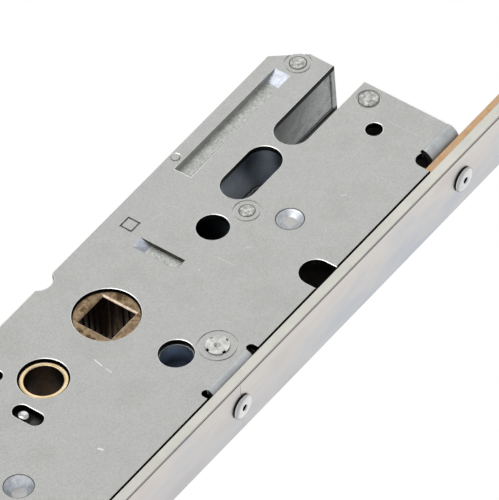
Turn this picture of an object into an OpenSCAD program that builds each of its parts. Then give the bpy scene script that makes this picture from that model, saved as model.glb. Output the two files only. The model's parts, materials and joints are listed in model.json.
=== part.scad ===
// Multipoint door lock: a centre case with latch, deadbolt and follower,
// two hook cases, and a sliding drive rod behind a full-length faceplate.
// Origin: spindle axis in the middle of the case thickness.
// +X points out of the door edge, +Z up, and -Y faces the cover plate.

/* [Faceplate] */
// Distance from the spindle axis to the faceplate front
backset = 40; // [38:1:50]
// Faceplate width
face_w = 16; // [16:1:24]
// Faceplate thickness
face_t = 3; // [2.5:0.5:4]
// Faceplate length above the spindle
face_up = 700; // [680:10:900]
// Faceplate length below the spindle
face_down = 700; // [680:10:900]
// Bevel on the long front edges
face_bevel = 0.4; // [0.2:0.1:0.8]
// Radius of the faceplate's four outer corners
face_corner_r = 5; // [2:1:7]
// Fixing screw hole radius
screw_r = 2.4; // [2:0.1:2.6]
// Countersink radius of a fixing screw hole
screw_sink_r = 4.6; // [4:0.1:5.5]
// Fixing screw heights, used above and below the spindle
screw_heights = [185, 285, 450, 665];

/* [Centre case] */
// Case thickness over both plates
case_t = 15.5; // [15.5:0.5:18]
// Sheet thickness of covers and trays
plate_t = 1.5; // [1.2:0.1:1.6]
// Distance from the spindle axis to the case back
case_depth = 19; // [19:0.5:26]
// Height of the case top above the spindle
case_top = 96; // [96:1:106]
// Depth of the case bottom below the spindle
case_bottom = 150; // [150:1:170]
// Gap between the case plates and the faceplate
front_gap = 0.5; // [0.3:0.1:0.8]
// Run of the bevelled back corners along X
corner_x = 8; // [4:0.5:9]
// Run of the bevelled back corners along Z
corner_z = 6.2; // [4:0.1:7]

/* [Fixing passages] */
// Middle of both handle screw slots along X
slot_x = 0.9; // [0:0.1:2]
// Width of both handle screw slots
slot_w = 9.2; // [8:0.1:10]
// Lowest point of the open slot
slot_floor = 68.5; // [68:0.5:72]
// Lowest point of the closed slot
oblong_bottom = 46.9; // [46:0.1:49]
// Highest point of the closed slot
oblong_top = 65.9; // [60:0.1:66]
// Radius of the round fixing hole above the spindle
fix_hole_r = 4.1; // [3:0.1:4.5]
// Place of the round fixing hole
fix_hole = [4, 36.9];
// Radius of the round socket beside the spindle
socket_r = 4.4; // [3:0.1:4.6]
// Place of the round socket
socket = [21.4, -0.6];
// Bore radius of the bush below the spindle
bush_bore_r = 4.8; // [4:0.1:5]
// Outer radius of the bush
bush_r = 6.3; // [6:0.1:6.6]
// Depth of the bush axis below the spindle
bush_drop = 24.7; // [24:0.1:26]

/* [Cylinder opening] */
// Spindle to cylinder distance
cyl_drop = 92; // [90:1:94]
// Radius of the round part of the cylinder opening
cyl_r = 8.7; // [8.6:0.1:8.9]
// Width of the neck of the cylinder opening
neck_w = 10.4; // [10.2:0.1:10.6]
// Depth of the neck's foot below the cylinder axis
neck_drop = 24.7; // [24.5:0.1:25]
// Drop from the cylinder axis to its fixing screw
cyl_screw_drop = 20; // [19:0.5:21]
// Radius of the cylinder fixing screw hole
cyl_screw_r = 2.6; // [2.5:0.1:2.8]

/* [Follower and drive] */
// Width of the square spindle hole
square_w = 10; // [8:0.5:10]
// Follower hub radius
hub_r = 8.35; // [8.2:0.05:8.6]
// Radius at which the follower pin drives the carriage
arm_r = 21.6; // [21:0.1:21.8]
// Follower turn from rest to thrown
follower_turn = 45; // [36:1:46]
// Drive rod thickness
rod_t = 2.5; // [2:0.1:2.8]
// Drive rod width
rod_w = 12; // [11.6:0.1:12.4]
// Gap between the drive rod and the faceplate
rod_gap = 0.4; // [0.3:0.1:0.6]
// Drive pin radius on the follower arm
arm_pin_r = 1.7; // [1.4:0.1:1.8]
// Radius of the pivot post beside the spindle
post_r = 3; // [2.6:0.1:3]

/* [Latch and deadbolt] */
// Latch and deadbolt thickness
bolt_t = 8.4; // [7:0.1:8.6]
// Latch height
latch_h = 30; // [26:1:32]
// Depth of the latch's middle below the spindle
latch_drop = 65; // [64:0.5:66]
// How far the latch stands out at rest
latch_out = 12; // [10:0.5:12]
// Latch travel when it is pushed in
latch_travel = 11.5; // [9:0.5:11.5]
// Deadbolt height
dead_h = 26; // [20:1:28]
// Depth of the deadbolt's middle below the spindle
dead_drop = 129; // [128.5:0.5:130]
// Deadbolt throw
dead_throw = 20; // [16:1:20]

/* [Hook cases] */
// Height of both hook pivots above and below the spindle
hook_dist = 560; // [540:5:600]
// Hook thickness
hook_t = 8; // [6:0.5:8]
// Hook reach past the faceplate
hook_out = 18; // [15:0.5:18]
// Distance from the faceplate front back to the hook pivot
hook_set = 24; // [23.5:0.5:26]
// Hook pivot radius
hook_pivot_r = 3; // [2.5:0.1:3]
// Hook drive pin radius
hook_pin_r = 2.5; // [2:0.1:2.5]

/* [Rollers] */
// Height of both rollers above and below the spindle
roller_dist = 370; // [340:5:400]
// Roller radius
roller_r = 6; // [5:0.5:7]
// Roller height
roller_h = 7; // [5:0.5:9]
// Stud radius
stud_r = 3; // [2.5:0.1:3.4]

/* [Hidden] */
$fn = 64;

// Clearances: running fits, parts that only pass each other, seated parts
run = 0.06;
pass = 0.3;
seat = 0.05;
over = 1;

// Planes along X
face_front = backset;
face_back = backset - face_t;
rod_front = face_back - rod_gap;
rod_back = rod_front - rod_t;
case_front = face_back - front_gap;
case_back = -case_depth;

// Planes along Y
side = case_t / 2;
inner = side - plate_t;
core_y = inner - seat;
window_y = bolt_t / 2 + pass;
rod_y = rod_w / 2;

// Folded tabs that hold the case to the faceplate
tab1_z = [-5.7, 9.7];
tab1_bend = 2;
tab1_far = 3.6;
tab2_z = [85.5, case_top];
tab2_bend = 3.1;
tab2_far = inner - 0.6;
tab2_face = rod_back - pass;
relief_r = 2.35;
tab1_relief = 1.15;
rivet1_z = 0;
rivet2_z = 88.8;
tab3_z = [-case_bottom, 6.8 - case_bottom];
rivet3_z = 3.4 - case_bottom;
rivet_r = 2.5;
rivet_head_r = 3.4;
rivet_head_h = 0.95;

// Rivets of the centre case: place, shank radius, head radius
case_pins = [
    [[-11.5, 91.8], 1.7, 2.25],
    [[9.9, 91.8], 1.9, 2.7],
    [[7.6, 45.8], 1.5, 2.1],
    [[-12.7, -55.2], 1.7, 2.4],
    [[-9.5, -76.4], 1.7, 2.4],
    [[-12, -112], 1.9, 2.6],
    [[-9, -145], 1.7, 2.4],
    [[22, -146.2], 1.5, 2.1]
];
post = [28.1, 6.9];
tenon = [-17.4, 50.2];
tenon_r = 1.1;
tenon_root = -5.2;
struck_rings = [[post, 5], [case_pins[0][0], 3.5], [case_pins[1][0], 3.1], [case_pins[2][0], 3.55]];
bolt_post_r = 2.2;
bolt_post_x = 4;

// Pressed recess and stamped marks in the cover
pan_x = [-15.2, -10.5];
pan_z = [47.1, 87.3];
pan_depth = 1.9;
pan_ramp = 3.5;
pan_skin = 1.2;
deep_dimple = [16, -55.1];
flat_dimple = [17.8, 49.4];
small_hole = [17, 84.4];
small_hole_r = 2.1;
pin_slot = [[1.9, -36], [6.2, -36]];
pin_slot_r = 2.1;
back_slot = [[-12, -30.4], [-10, -30.4]];
back_slot_r = 1.7;
front_notch = [33.25, 39];
front_notch_r = 4.05;
groove_x = [-8.4, 4.9];
groove_z = [21, 24.6];
groove_depth = 1.1;
groove_ramp = 3.2;
stamp = [-13.1, 26.45];
stamp_w = 3.8;

// Layers along Y for the moving plates
arm_y = [1, 3.4];
carriage_y = [3.8, inner - 0.35];
lever_y = [3.3, inner - 0.55];
slide_y = [0.65 - inner, -3.3];
tail_t = 3;

// Derived places
latch_z = -latch_drop;
dead_z = -dead_drop;
bush_z = -bush_drop;
cam_r = 16;
cyl_z = -cyl_drop;
latch_back = 20;
latch_tail_x = -5;
lever_len = 42;
tail_z = [latch_z - 8, latch_z + 4];
guide_x = 4;
spring_z = latch_z + 9;
spring_r = 2.6;
spring_wire = 0.4;
spring_sink = 10;
slide_pin_x = 2.6;
slide_pin_z = -36;
lever_half = asin(latch_travel / 2 / lever_len);
lever_pin_r = 1.6;
lever_pin = [lever_len * sin(lever_half), bush_z - lever_len * cos(lever_half)];
arm_start = follower_turn / 2;
arm_pin = arm_r * [cos(arm_start), sin(arm_start)];
throw = 2 * arm_r * sin(arm_start);

// Hook cases: places are counted from the hook pivot
hook_x = face_front - hook_set;
hook_span = [-4, 38];
hook_case_z = [-20, 50];
hook_tabs = [[-20, -13], [43, 50]];
hook_posts = [[hook_x - 8.5, -12.5], [hook_x + 4, -16.7], [hook_x - 7, 45.2]];
hook_post_r = 1.5;
hook_pin = [hook_x + throw / 2, throw / 2];
hook_slot_r = hook_pin_r + 0.9;
ear_y = [hook_t / 2 + 0.5, inner - 0.35];

// Every rivet of the faceplate: height, and the back of the tab it clamps
rivets = [
    [rivet1_z, case_front - plate_t],
    [rivet2_z, tab2_face - plate_t],
    [rivet3_z, tab2_face - plate_t],
    for (s = [-1, 1], t = hook_tabs) [s * hook_dist + (t[0] + t[1]) / 2, tab2_face - plate_t]
];

// Joints between the drive bar and the two rods
coupler_z = [-case_bottom - 62, case_top + 50];
coupler_half = 14;
coupler_t = 2;
coupler_pin_r = 2;
rod_end_up = hook_dist + hook_span[1] + throw + 17;
rod_end_down = hook_dist + 32;
coupler_head_r = coupler_pin_r + 0.8;
coupler_pins = [for (z = coupler_z, d = [-10.5, -4.5, 4.5, 10.5]) z + d];

// Flat piece between two Y planes, drawn in the X-Z plane
module slab(y0, y1) {
    translate([0, y1, 0]) rotate([90, 0, 0]) linear_extrude(y1 - y0) children();
}

// Flat piece between two X planes, drawn in the Y-Z plane
module upright(x0, x1) {
    translate([x0, 0, 0]) rotate([90, 0, 90]) linear_extrude(x1 - x0) children();
}

module block(x, y, z) {
    translate([x[0], y[0], z[0]]) cube([x[1] - x[0], y[1] - y[0], z[1] - z[0]]);
}

module pin_y(p, r, y0, y1) {
    translate([p[0], y1, p[1]]) rotate([90, 0, 0]) cylinder(r = r, h = y1 - y0);
}

module pin_x(y, z, r, x0, x1) {
    translate([x0, y, z]) rotate([0, 90, 0]) cylinder(r = r, h = x1 - x0);
}

function around(z, h) = [z - h, z + h];

function moved(v, d) = [for (k = v) k + d];

// Outline with two round ends; its straight sides can lie slightly inside them
module oblong(a, b, r, inset = 0) {
    translate(a) circle(r);
    translate(b) circle(r);
    translate(a) rotate(atan2(b[1] - a[1], b[0] - a[0]))
        translate([0, inset - r]) square([norm(b - a), 2 * (r - inset)]);
}

module rect(x, z) {
    translate([x[0], z[0]]) square([x[1] - x[0], z[1] - z[0]]);
}

// Outline of the centre case, moved inwards by i on all sides but the front
module case_outline(i = 0) {
    notch_r = 3.72;
    difference() {
        rect([case_back + i, case_front], [-case_bottom + i, case_top - i]);
        translate([case_back, case_top - corner_z]) rotate(atan2(corner_z, corner_x))
            translate([-case_depth, -i]) square([4 * case_depth, 2 * case_depth]);
        translate([case_back, -case_bottom + corner_z]) rotate(-atan2(corner_z, corner_x))
            translate([-case_depth, i - 2 * case_depth]) square([4 * case_depth, 2 * case_depth]);
        translate([case_back + 2 - notch_r, 0]) circle(notch_r + i);
    }
}

// Cylinder opening, grown by g
module cylinder_profile(g = 0) {
    translate([0, cyl_z]) circle(cyl_r + g);
    oblong([0, cyl_z], [0, cyl_z - neck_drop + neck_w / 2], neck_w / 2 + g);
}

module closed_slot(g = 0) {
    oblong([slot_x, oblong_bottom + slot_w / 2], [slot_x, oblong_top - slot_w / 2],
        slot_w / 2 + g);
}

// Handle screw slot that is open at the case top, grown by g
module open_slot(g = 0) {
    oblong([slot_x, slot_floor + slot_w / 2], [slot_x, case_top + slot_w], slot_w / 2 + g);
}

// Openings that both plates of the centre case share
module shared_holes() {
    closed_slot();
    open_slot();
    translate(fix_hole) circle(fix_hole_r);
    circle(hub_r + run);
    translate([0, bush_z]) circle(bush_r + seat);
    cylinder_profile();
    for (p = case_pins) translate(p[0]) circle(p[1] + seat);
    translate(post) circle(post_r + seat);
    translate([bolt_post_x, dead_z]) circle(bolt_post_r + seat);
}

// Round notch in the front edge of both plates
module side_notch() {
    oblong(front_notch, [case_front + 2 * front_notch_r, front_notch[1]], front_notch_r);
}

// Quarter bend and folded leg of a tab; the flat sheet ends at x
module folded_tab(x, bend, y_far, z, rivet_z) {
    difference() {
        union() {
            translate([x, bend - side, z[0]]) intersection() {
                difference() {
                    cylinder(r = bend, h = z[1] - z[0]);
                    translate([0, 0, -over]) cylinder(r = bend - plate_t, h = z[1] - z[0] + 2 * over);
                }
                translate([0, -bend, 0]) cube([bend, bend, z[1] - z[0]]);
            }
            block([x + bend - plate_t, x + bend], [bend - side, y_far], z);
        }
        pin_x(0, rivet_z, rivet_r + seat, x - over, x + bend + over);
    }
}

module case_cover() {
    color([0.72, 0.73, 0.71]) {
        difference() {
            union() {
                slab(-side, -inner) difference() {
                    case_outline();
                    rect([tab2_face - tab2_bend, case_front + over],
                        [tab2_z[0] - over, case_top + over]);
                    rect([tab2_face - tab2_bend, case_front + over],
                        [-case_bottom - over, tab3_z[1] + over]);
                    rect([case_front - tab1_bend, case_front + over], tab1_z);
                    for (z = [tab1_z[0] - tab1_relief, tab1_z[1] + tab1_relief])
                        oblong([case_front - 1.45, z], [case_front + 3, z], tab1_relief);
                    oblong([tab2_face - tab2_bend + 0.2 + relief_r, tab2_z[0] - relief_r],
                        [case_front + 3, tab2_z[0] - relief_r], relief_r);
                    side_notch();
                    translate(small_hole) circle(small_hole_r);
                    translate(socket) circle(socket_r);
                    oblong(pin_slot[0], pin_slot[1], pin_slot_r);
                    oblong(back_slot[0], back_slot[1], back_slot_r);
                    translate(tenon) circle(tenon_r + seat);
                    shared_holes();
                }
                // Skin of the pressed pan and of the deep dimple
                slab(-side + plate_t - over, pan_depth + pan_skin - side)
                    rect(pan_x + pan_skin * [-1, 1], pan_z + pan_skin * [-1, 1]);
                translate([deep_dimple[0], -inner - 0.5, deep_dimple[1]]) rotate([-90, 0, 0])
                    cylinder(r1 = 4.7, r2 = 3, h = 2.2);
            }
            upright(pan_x[0], pan_x[1]) polygon([
                [-side - over, pan_z[0]], [-side - over, pan_z[1]], [-side, pan_z[1]],
                [pan_depth - side, pan_z[1] - pan_ramp], [pan_depth - side, pan_z[0]]
            ]);
            translate([deep_dimple[0], -side, deep_dimple[1]]) rotate([-90, 0, 0])
                cylinder(r1 = 3.7, r2 = 1.9, h = 2.5);
            translate([flat_dimple[0], -side, flat_dimple[1]]) rotate([-90, 0, 0])
                cylinder(r1 = 3.5, r2 = 1.6, h = 1.1);
            // Short pressed groove that ramps down from its rear end
            intersection() {
                upright(groove_x[0], groove_x[1]) polygon([
                    [-side - over, groove_z[0]], [-side - over, groove_z[1]], [-side, groove_z[1]],
                    [groove_depth - side, groove_z[1] - 0.2],
                    [groove_depth - side, groove_z[0] + 0.6], [-side, groove_z[0]]
                ]);
                translate([0, 0, groove_z[0] - over]) linear_extrude(groove_z[1] - groove_z[0] + 2 * over)
                    polygon([
                        [groove_x[0], -side - over], [groove_x[0], -side],
                        [groove_x[0] + groove_ramp, groove_depth - side],
                        [groove_x[1] + over, groove_depth - side], [groove_x[1] + over, -side - over]
                    ]);
            }
            // Small stamped square
            slab(-side - over, 0.3 - side) difference() {
                translate(stamp) square(stamp_w, center = true);
                translate(stamp) square(stamp_w - 1, center = true);
            }
            // Rings struck round the pivot post and round two rivets
            slab(-side - over, 0.25 - side) for (r = struck_rings) difference() {
                translate(r[0]) circle(r[1]);
                translate(r[0]) circle(r[1] - 0.35);
            }
        }
        folded_tab(case_front - tab1_bend, tab1_bend, tab1_far, tab1_z, rivet1_z);
        folded_tab(tab2_face - tab2_bend, tab2_bend, tab2_far, tab2_z, rivet2_z);
        folded_tab(tab2_face - tab2_bend, tab2_bend, tab2_far, tab3_z, rivet3_z);
    }
}

module case_base() {
    wall_end = tab2_face - tab2_bend - over;
    color([0.70, 0.71, 0.70]) {
        slab(inner, side) difference() {
            case_outline();
            side_notch();
            shared_holes();
        }
        slab(-inner, inner) intersection() {
            difference() {
                case_outline();
                case_outline(plate_t);
                open_slot();
                for (p = case_pins) translate(p[0]) circle(p[1] + seat);
            }
            rect([case_back - over, wall_end], [-case_bottom - over, case_top + over]);
        }
        pin_y(tenon, tenon_r, -side - 0.2, tenon_root);
    }
}

// Die-cast spacer around both handle screw slots
module upper_core() {
    color([0.40, 0.44, 0.50]) difference() {
        slab(-core_y, core_y) difference() {
            intersection() {
                case_outline(plate_t + seat);
                rect([case_back, 13], [43.5, case_top]);
            }
            closed_slot(0.35);
            open_slot(0.35);
            for (p = case_pins) translate(p[0]) circle(p[1] + seat);
        }
        block([pan_x[0] - pan_skin - pass, pan_x[1] + pan_skin + pass],
            [-side, pan_depth + pan_skin + pass - side],
            [pan_z[0] - pan_skin - pass, pan_z[1] + pan_skin + pass]);
        pin_y(tenon, tenon_r + pass, -side, tenon_root + pass);
    }
}

// Die-cast socket behind the round hole beside the spindle
module socket_core() {
    color([0.40, 0.44, 0.50]) difference() {
        union() {
            pin_y(socket, socket_r + 1.4, -core_y, arm_y[0] - pass);
            slab(-core_y, -core_y + 2) oblong(socket, post, post_r + 1.5);
        }
        pin_y(socket, socket_r - 0.2, -core_y - over, arm_y[0] - pass - 0.8);
        pin_y(post, post_r + seat, -core_y - over, 0);
    }
}

// Die-cast block with a finger that holds the rear end of the latch spring
module latch_guide() {
    color([0.40, 0.44, 0.50]) difference() {
        union() {
            block([case_back + plate_t + pass, guide_x - 13], [-core_y, core_y],
                [tail_z[1] + 0.5, spring_z + 6]);
            block([guide_x - 13 - over, guide_x], [-2.2, 1.7], around(spring_z, 3));
            pin_x(0, spring_z, spring_r - spring_wire - 0.5, guide_x - over, guide_x + 4);
        }
        pin_y(case_pins[3][0], case_pins[3][1] + seat, -side, side);
    }
}

module screw_bush() {
    color([0.80, 0.66, 0.42]) difference() {
        pin_y([0, bush_z], bush_r, 0.7 - side, side - 0.7);
        pin_y([0, bush_z], bush_bore_r, -side, side);
    }
}

module case_rivets() {
    head = 0.15;
    color([0.74, 0.75, 0.74]) for (p = case_pins) {
        pin_y(p[0], p[1], -side, side);
        pin_y(p[0], p[2], -side - head, -side);
        pin_y(p[0], p[2], side, side + head);
    }
}

module pivot_post() {
    head = 0.4;
    color([0.74, 0.75, 0.74]) difference() {
        pin_y(post, post_r, -side - head, side + head);
        // Dimple and four stake marks struck into the visible end
        translate([post[0], -side - head, post[1]]) rotate([-90, 0, 0])
            cylinder(r1 = 0.9, r2 = 0.3, h = 0.5);
        for (a = [20, 110, 200, 290])
            translate([post[0], 0, post[1]]) rotate([0, a, 0])
                block([post_r - 0.45, post_r + 1], [-side - head - over, 0.3 - side], [-0.45, 0.45]);
    }
}

module bolt_post() {
    head = 0.3;
    color([0.74, 0.75, 0.74]) pin_y([bolt_post_x, dead_z], bolt_post_r, -side - head, side + head);
}

// Faceplate between two heights: bevelled front edges, rounded outer end
module faceplate(z0, z1) {
    difference() {
        translate([0, 0, z0]) linear_extrude(z1 - z0) polygon([
            [face_back, -face_w / 2], [face_front - face_bevel, -face_w / 2],
            [face_front, face_bevel - face_w / 2], [face_front, face_w / 2 - face_bevel],
            [face_front - face_bevel, face_w / 2], [face_back, face_w / 2]
        ]);
        for (s = [-1, 1]) {
            z = z0 < 0 ? z0 : z1;
            dir = z0 < 0 ? -1 : 1;
            difference() {
                block([face_back - over, face_front + over],
                    s > 0 ? [face_w / 2 - face_corner_r, face_w] : [-face_w, face_corner_r - face_w / 2],
                    dir > 0 ? [z - face_corner_r, z + over] : [z - over, z + face_corner_r]);
                pin_x(s * (face_w / 2 - face_corner_r), z - dir * face_corner_r, face_corner_r,
                    face_back - 2 * over, face_front + 2 * over);
            }
        }
        for (r = rivets) pin_x(0, r[0], rivet_r + seat, face_back - over, face_front + over);
        for (h = screw_heights, s = [-1, 1]) countersunk(s * h, screw_r, screw_sink_r);
        for (s = [-1, 1]) {
            upright(face_back - over, face_front + over) {
                oblong([0, s * roller_dist - throw], [0, s * roller_dist], stud_r + 0.4);
                rect(around(0, hook_t / 2 + 0.4), moved(hook_span, s * hook_dist));
            }
        }
        upright(face_back - over, face_front + over) {
            rect(around(0, window_y), around(latch_z, latch_h / 2 + pass));
            rect(around(0, window_y), around(dead_z, dead_h / 2 + pass));
        }
        countersunk(cyl_z - cyl_screw_drop, cyl_screw_r, cyl_screw_r + 2);
    }
}

module countersunk(z, r, sink) {
    pin_x(0, z, r, face_back - over, face_front + over);
    translate([face_front - (sink - r), 0, z]) rotate([0, 90, 0])
        cylinder(r1 = r, r2 = sink + over, h = sink - r + over);
}

module faceplate_upper() {
    color([0.80, 0.80, 0.79]) faceplate(0, face_up);
}

module faceplate_lower() {
    color([0.80, 0.80, 0.79]) faceplate(-face_down, 0);
}

module faceplate_rivets() {
    rear_h = 0.8;
    rim = 0.35;
    color([0.86, 0.86, 0.85]) for (r = rivets) difference() {
        union() {
            pin_x(0, r[0], rivet_r, r[1] - rear_h, face_front + rim);
            pin_x(0, r[0], rivet_r + 0.9, r[1] - rear_h, r[1]);
            pin_x(0, r[0], rivet_head_r, face_front, face_front + rim);
            translate([face_front + rim, 0, r[0]]) rotate([0, 90, 0])
                cylinder(r1 = rivet_head_r, r2 = rivet_head_r - 1.3, h = rivet_head_h - rim);
        }
        pin_x(0, r[0], 0.8, face_front - 0.3, face_front + 2 * over);
    }
}

// Window in the rod that a fixed feature keeps while the rod moves down
module rod_window(y, z) {
    rect(y, [z[0], z[1] + throw]);
}

module rod_slot(z, r) {
    oblong([0, z], [0, z + throw], r);
}

// Drive rod between two heights, with every window that falls on it
module rod(z0, z1) {
    upright(rod_back, rod_front) difference() {
        rect([-rod_y, rod_y], [z0, z1]);
        rod_window([-rod_y - over, tab1_far + pass],
            [tab1_z[0] - 2 * tab1_relief - pass, tab1_z[1] + pass]);
        rod_window([-rod_y - over, 0], around(front_notch[1], front_notch_r + pass));
        for (r = rivets) if (r[0] != rivet1_z) rod_slot(r[0], rivet_r + 0.4);
        for (h = screw_heights, s = [-1, 1]) rod_slot(s * h, screw_r + 0.5);
        rod_slot(cyl_z - cyl_screw_drop, cyl_screw_r + 0.3);
        for (b = [[latch_z, latch_h], [dead_z, dead_h]])
            rod_window(around(0, window_y), around(b[0], b[1] / 2 + pass));
        for (s = [-1, 1]) {
            rod_window(around(0, hook_t / 2 + 0.5), moved(hook_span, s * hook_dist));
            translate([0, s * roller_dist]) circle(stud_r + seat);
        }
        for (z = coupler_pins) translate([0, z]) circle(coupler_pin_r + seat);
    }
}

module drive_bar() {
    color([0.80, 0.68, 0.50]) rod(coupler_z[0], coupler_z[1]);
}

module upper_rod() {
    color([0.80, 0.68, 0.50]) rod(coupler_z[1] + seat, rod_end_up);
}

module lower_rod() {
    color([0.80, 0.68, 0.50]) rod(-rod_end_down, coupler_z[0] - seat);
}

module rod_couplers() {
    color([0.66, 0.67, 0.68]) for (z = coupler_z) difference() {
        block([rod_back - coupler_t, rod_back], (rod_y - 1) * [-1, 1], around(z, coupler_half));
        for (p = coupler_pins)
            pin_x(0, p, coupler_pin_r + seat, rod_back - coupler_t - over, rod_back + over);
    }
}

module coupler_rivets() {
    color([0.62, 0.63, 0.64]) for (z = coupler_pins) {
        pin_x(0, z, coupler_pin_r, rod_back - coupler_t - 0.6, rod_front);
        pin_x(0, z, coupler_head_r, rod_back - coupler_t - 0.6, rod_back - coupler_t);
    }
}

// Plate that carries the follower's motion to the drive bar
module drive_carriage() {
    left = arm_pin[0] - arm_pin_r - 2.3;
    slot_side = post_r + 0.15;
    low = -2.2;
    high = post[1] + throw + slot_side + 4;
    color([0.45, 0.47, 0.50]) slab(carriage_y[0], carriage_y[1]) difference() {
        union() {
            rect([left, rod_back], [low, arm_pin[1] + arm_pin_r + 2.6]);
            rect([post[0] - slot_side - 2.4, rod_back], [low, high]);
        }
        oblong(post, [post[0], post[1] + throw + 0.1], slot_side);
        oblong(arm_pin, [arm_r, arm_pin[1]], arm_pin_r + pass);
    }
}

// Chamfered front mouth of the square hole, in a hub face at y
module square_mouth(y) {
    c = 0.5;
    half = square_w / 2;
    wide = half + c + over;
    profile = [[y - over, -wide], [y - over, wide], [y + c, half], [y + c, -half]];
    intersection() {
        upright(-wide, wide) polygon(profile);
        translate([0, 0, -wide]) linear_extrude(2 * wide) polygon([for (p = profile) [p[1], p[0]]]);
    }
}

module follower() {
    front = 0.8 - side;
    back = side + 0.4;
    color([0.78, 0.64, 0.42]) difference() {
        union() {
            pin_y([0, 0], hub_r, front, back);
            slab(arm_y[0], arm_y[1]) {
                oblong([0, 0], arm_pin, arm_pin_r + 1.3);
                oblong([0, 0], 10.5 * [cos(-100), sin(-100)], 2);
            }
        }
        slab(-side, back + over) square(square_w, center = true);
        square_mouth(front);
        // Grooves left by the broach on the four walls of the square
        slab(front + 0.9, back - 0.9) for (a = [0, 90, 180, 270], k = [-1.5, -0.5, 0.5, 1.5])
            rotate(a) translate([square_w / 2 - 0.1, k * square_w / 5 - 0.5]) square([0.5, 1]);
        pin_y(arm_pin, arm_pin_r + seat, 0, side);
    }
}

module follower_pin() {
    color([0.70, 0.71, 0.72]) pin_y(arm_pin, arm_pin_r, arm_y[0], carriage_y[1] + 0.1);
}

// Middle of a wound wire along +X after i rings
function coil_point(i, r, rise, rings) =
    let(a = 360 * i / rings) [rise * i, r * cos(a), r * sin(a)];

// Six points round the wire at ring i
function coil_ring(i, r, w, rise, rings) = let(
    a = 360 * i / rings,
    along = [rise, -sin(a) * 2 * PI * r / rings, cos(a) * 2 * PI * r / rings],
    out = [0, cos(a), sin(a)],
    across = cross(along / norm(along), out)
) [for (k = [0:5]) coil_point(i, r, rise, rings) + w * (cos(60 * k) * out + sin(60 * k) * across)];

// Wire coil along +X: mean radius, wire radius, length, turns, rings in a turn
module coil(r, w, len, turns, rings) {
    last = turns * rings;
    rise = len / last;
    points = [for (i = [0:last]) each coil_ring(i, r, w, rise, rings)];
    sides = [for (i = [0:last - 1], k = [0:5]) let(a = 6 * i + k, b = 6 * i + (k + 1) % 6)
        each [[a, b + 6, b], [a, a + 6, b + 6]]];
    ends = [for (k = [1:4]) each [[0, k, k + 1], [6 * last, 6 * last + k + 1, 6 * last + k]]];
    polyhedron(points, concat(sides, ends));
    gaps = [for (i = [0:last - rings / 2], j = [i + ceil(rings / 2):last])
        norm(coil_point(i, r, rise, rings) - coil_point(j, r, rise, rings)) - 2 * w];
    echo(least_gap_between_turns = min(gaps));
}

module latch_bolt() {
    tip = face_front + latch_out;
    half = bolt_t / 2;
    color([0.75, 0.76, 0.77]) difference() {
        union() {
            translate([0, 0, latch_z - latch_h / 2]) linear_extrude(latch_h) polygon([
                [latch_back, -half], [tip - 2.5, -half], [tip, 1.2 - half], [tip, 2.4 - half],
                [face_front + 1, half], [latch_back, half]
            ]);
            block([latch_tail_x, latch_back + over], around(0, tail_t / 2), tail_z);
        }
        slab(-tail_t, tail_t) oblong([lever_pin[0], lever_pin[1] + 0.3],
            [lever_pin[0], bush_z - lever_len - 0.3], lever_pin_r + 0.25);
        // Room for the cam of a cylinder when the latch is pushed in
        pin_y([latch_travel, cyl_z], cam_r, -side, side);
        pin_x(0, spring_z, spring_r + spring_wire + pass, latch_back - over, latch_back + spring_sink);
    }
}

module latch_spring() {
    ends = spring_wire + seat;
    color([0.60, 0.61, 0.62]) translate([guide_x + ends, 0, spring_z])
        coil(spring_r, spring_wire, latch_back + spring_sink - guide_x - 2 * ends, 7, 8);
}

module latch_lever() {
    color([0.55, 0.56, 0.58]) slab(lever_y[0], lever_y[1]) difference() {
        union() {
            translate([0, bush_z]) circle(bush_r + 2.8);
            oblong([0, bush_z], lever_pin, lever_pin_r + 1.6);
            oblong([3.2, bush_z + bush_r], [3.2, bush_z + 12.2], 1.7);
        }
        translate([0, bush_z]) circle(bush_r + run);
        translate(lever_pin) circle(lever_pin_r + seat);
    }
}

module latch_lever_pin() {
    color([0.70, 0.71, 0.72]) pin_y(lever_pin, lever_pin_r, -tail_t / 2, lever_y[1]);
}

module deadbolt() {
    back = bolt_post_x + bolt_post_r + 0.4;
    half = bolt_t / 2;
    tail_x = case_back + plate_t + 0.5;
    color([0.75, 0.76, 0.77]) difference() {
        union() {
            block([back, face_front], around(0, half), around(dead_z, dead_h / 2));
            block([tail_x, back + over], around(0, tail_t / 2), around(dead_z, dead_h / 2 - 3));
            slab(-half, -half + 1.3) difference() {
                rect([back + 1, rod_back - dead_throw - 0.5], [dead_z, dead_z + dead_h / 2 + 12]);
                translate([back + 4.3, dead_z + dead_h / 2 + 11]) circle(1.9);
            }
        }
        slab(-tail_t, tail_t) oblong([tail_x - 5, dead_z], [bolt_post_x, dead_z], bolt_post_r + 0.15);
    }
}

module blocking_slide() {
    color([0.62, 0.62, 0.60]) {
        slab(slide_y[0], slide_y[1]) difference() {
            union() {
                rect([-3, 14], [slide_pin_z - 9, bush_z - bush_r - 0.6]);
                rect([-3.6, 4.6], [latch_z - 6, slide_pin_z]);
            }
            translate([slide_pin_x, slide_pin_z]) circle(lever_pin_r + seat);
        }
        block([4.9, 6.9], [pass - inner, slide_y[0] + 0.2], around(slide_pin_z, 1.4));
    }
}

module slide_pin() {
    color([0.86, 0.86, 0.85]) pin_y([slide_pin_x, slide_pin_z], lever_pin_r, 0.5 - side, slide_y[1]);
}

// Hook case outline, moved inwards by i on all sides but the front
module hook_outline(i = 0) {
    difference() {
        rect([hook_x - 12.5 + i, case_front], hook_case_z + [i, -i]);
        for (z = hook_case_z) translate([hook_x - 12.5, z]) rotate(45)
            square(8 + 2 * i, center = true);
    }
}

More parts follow.
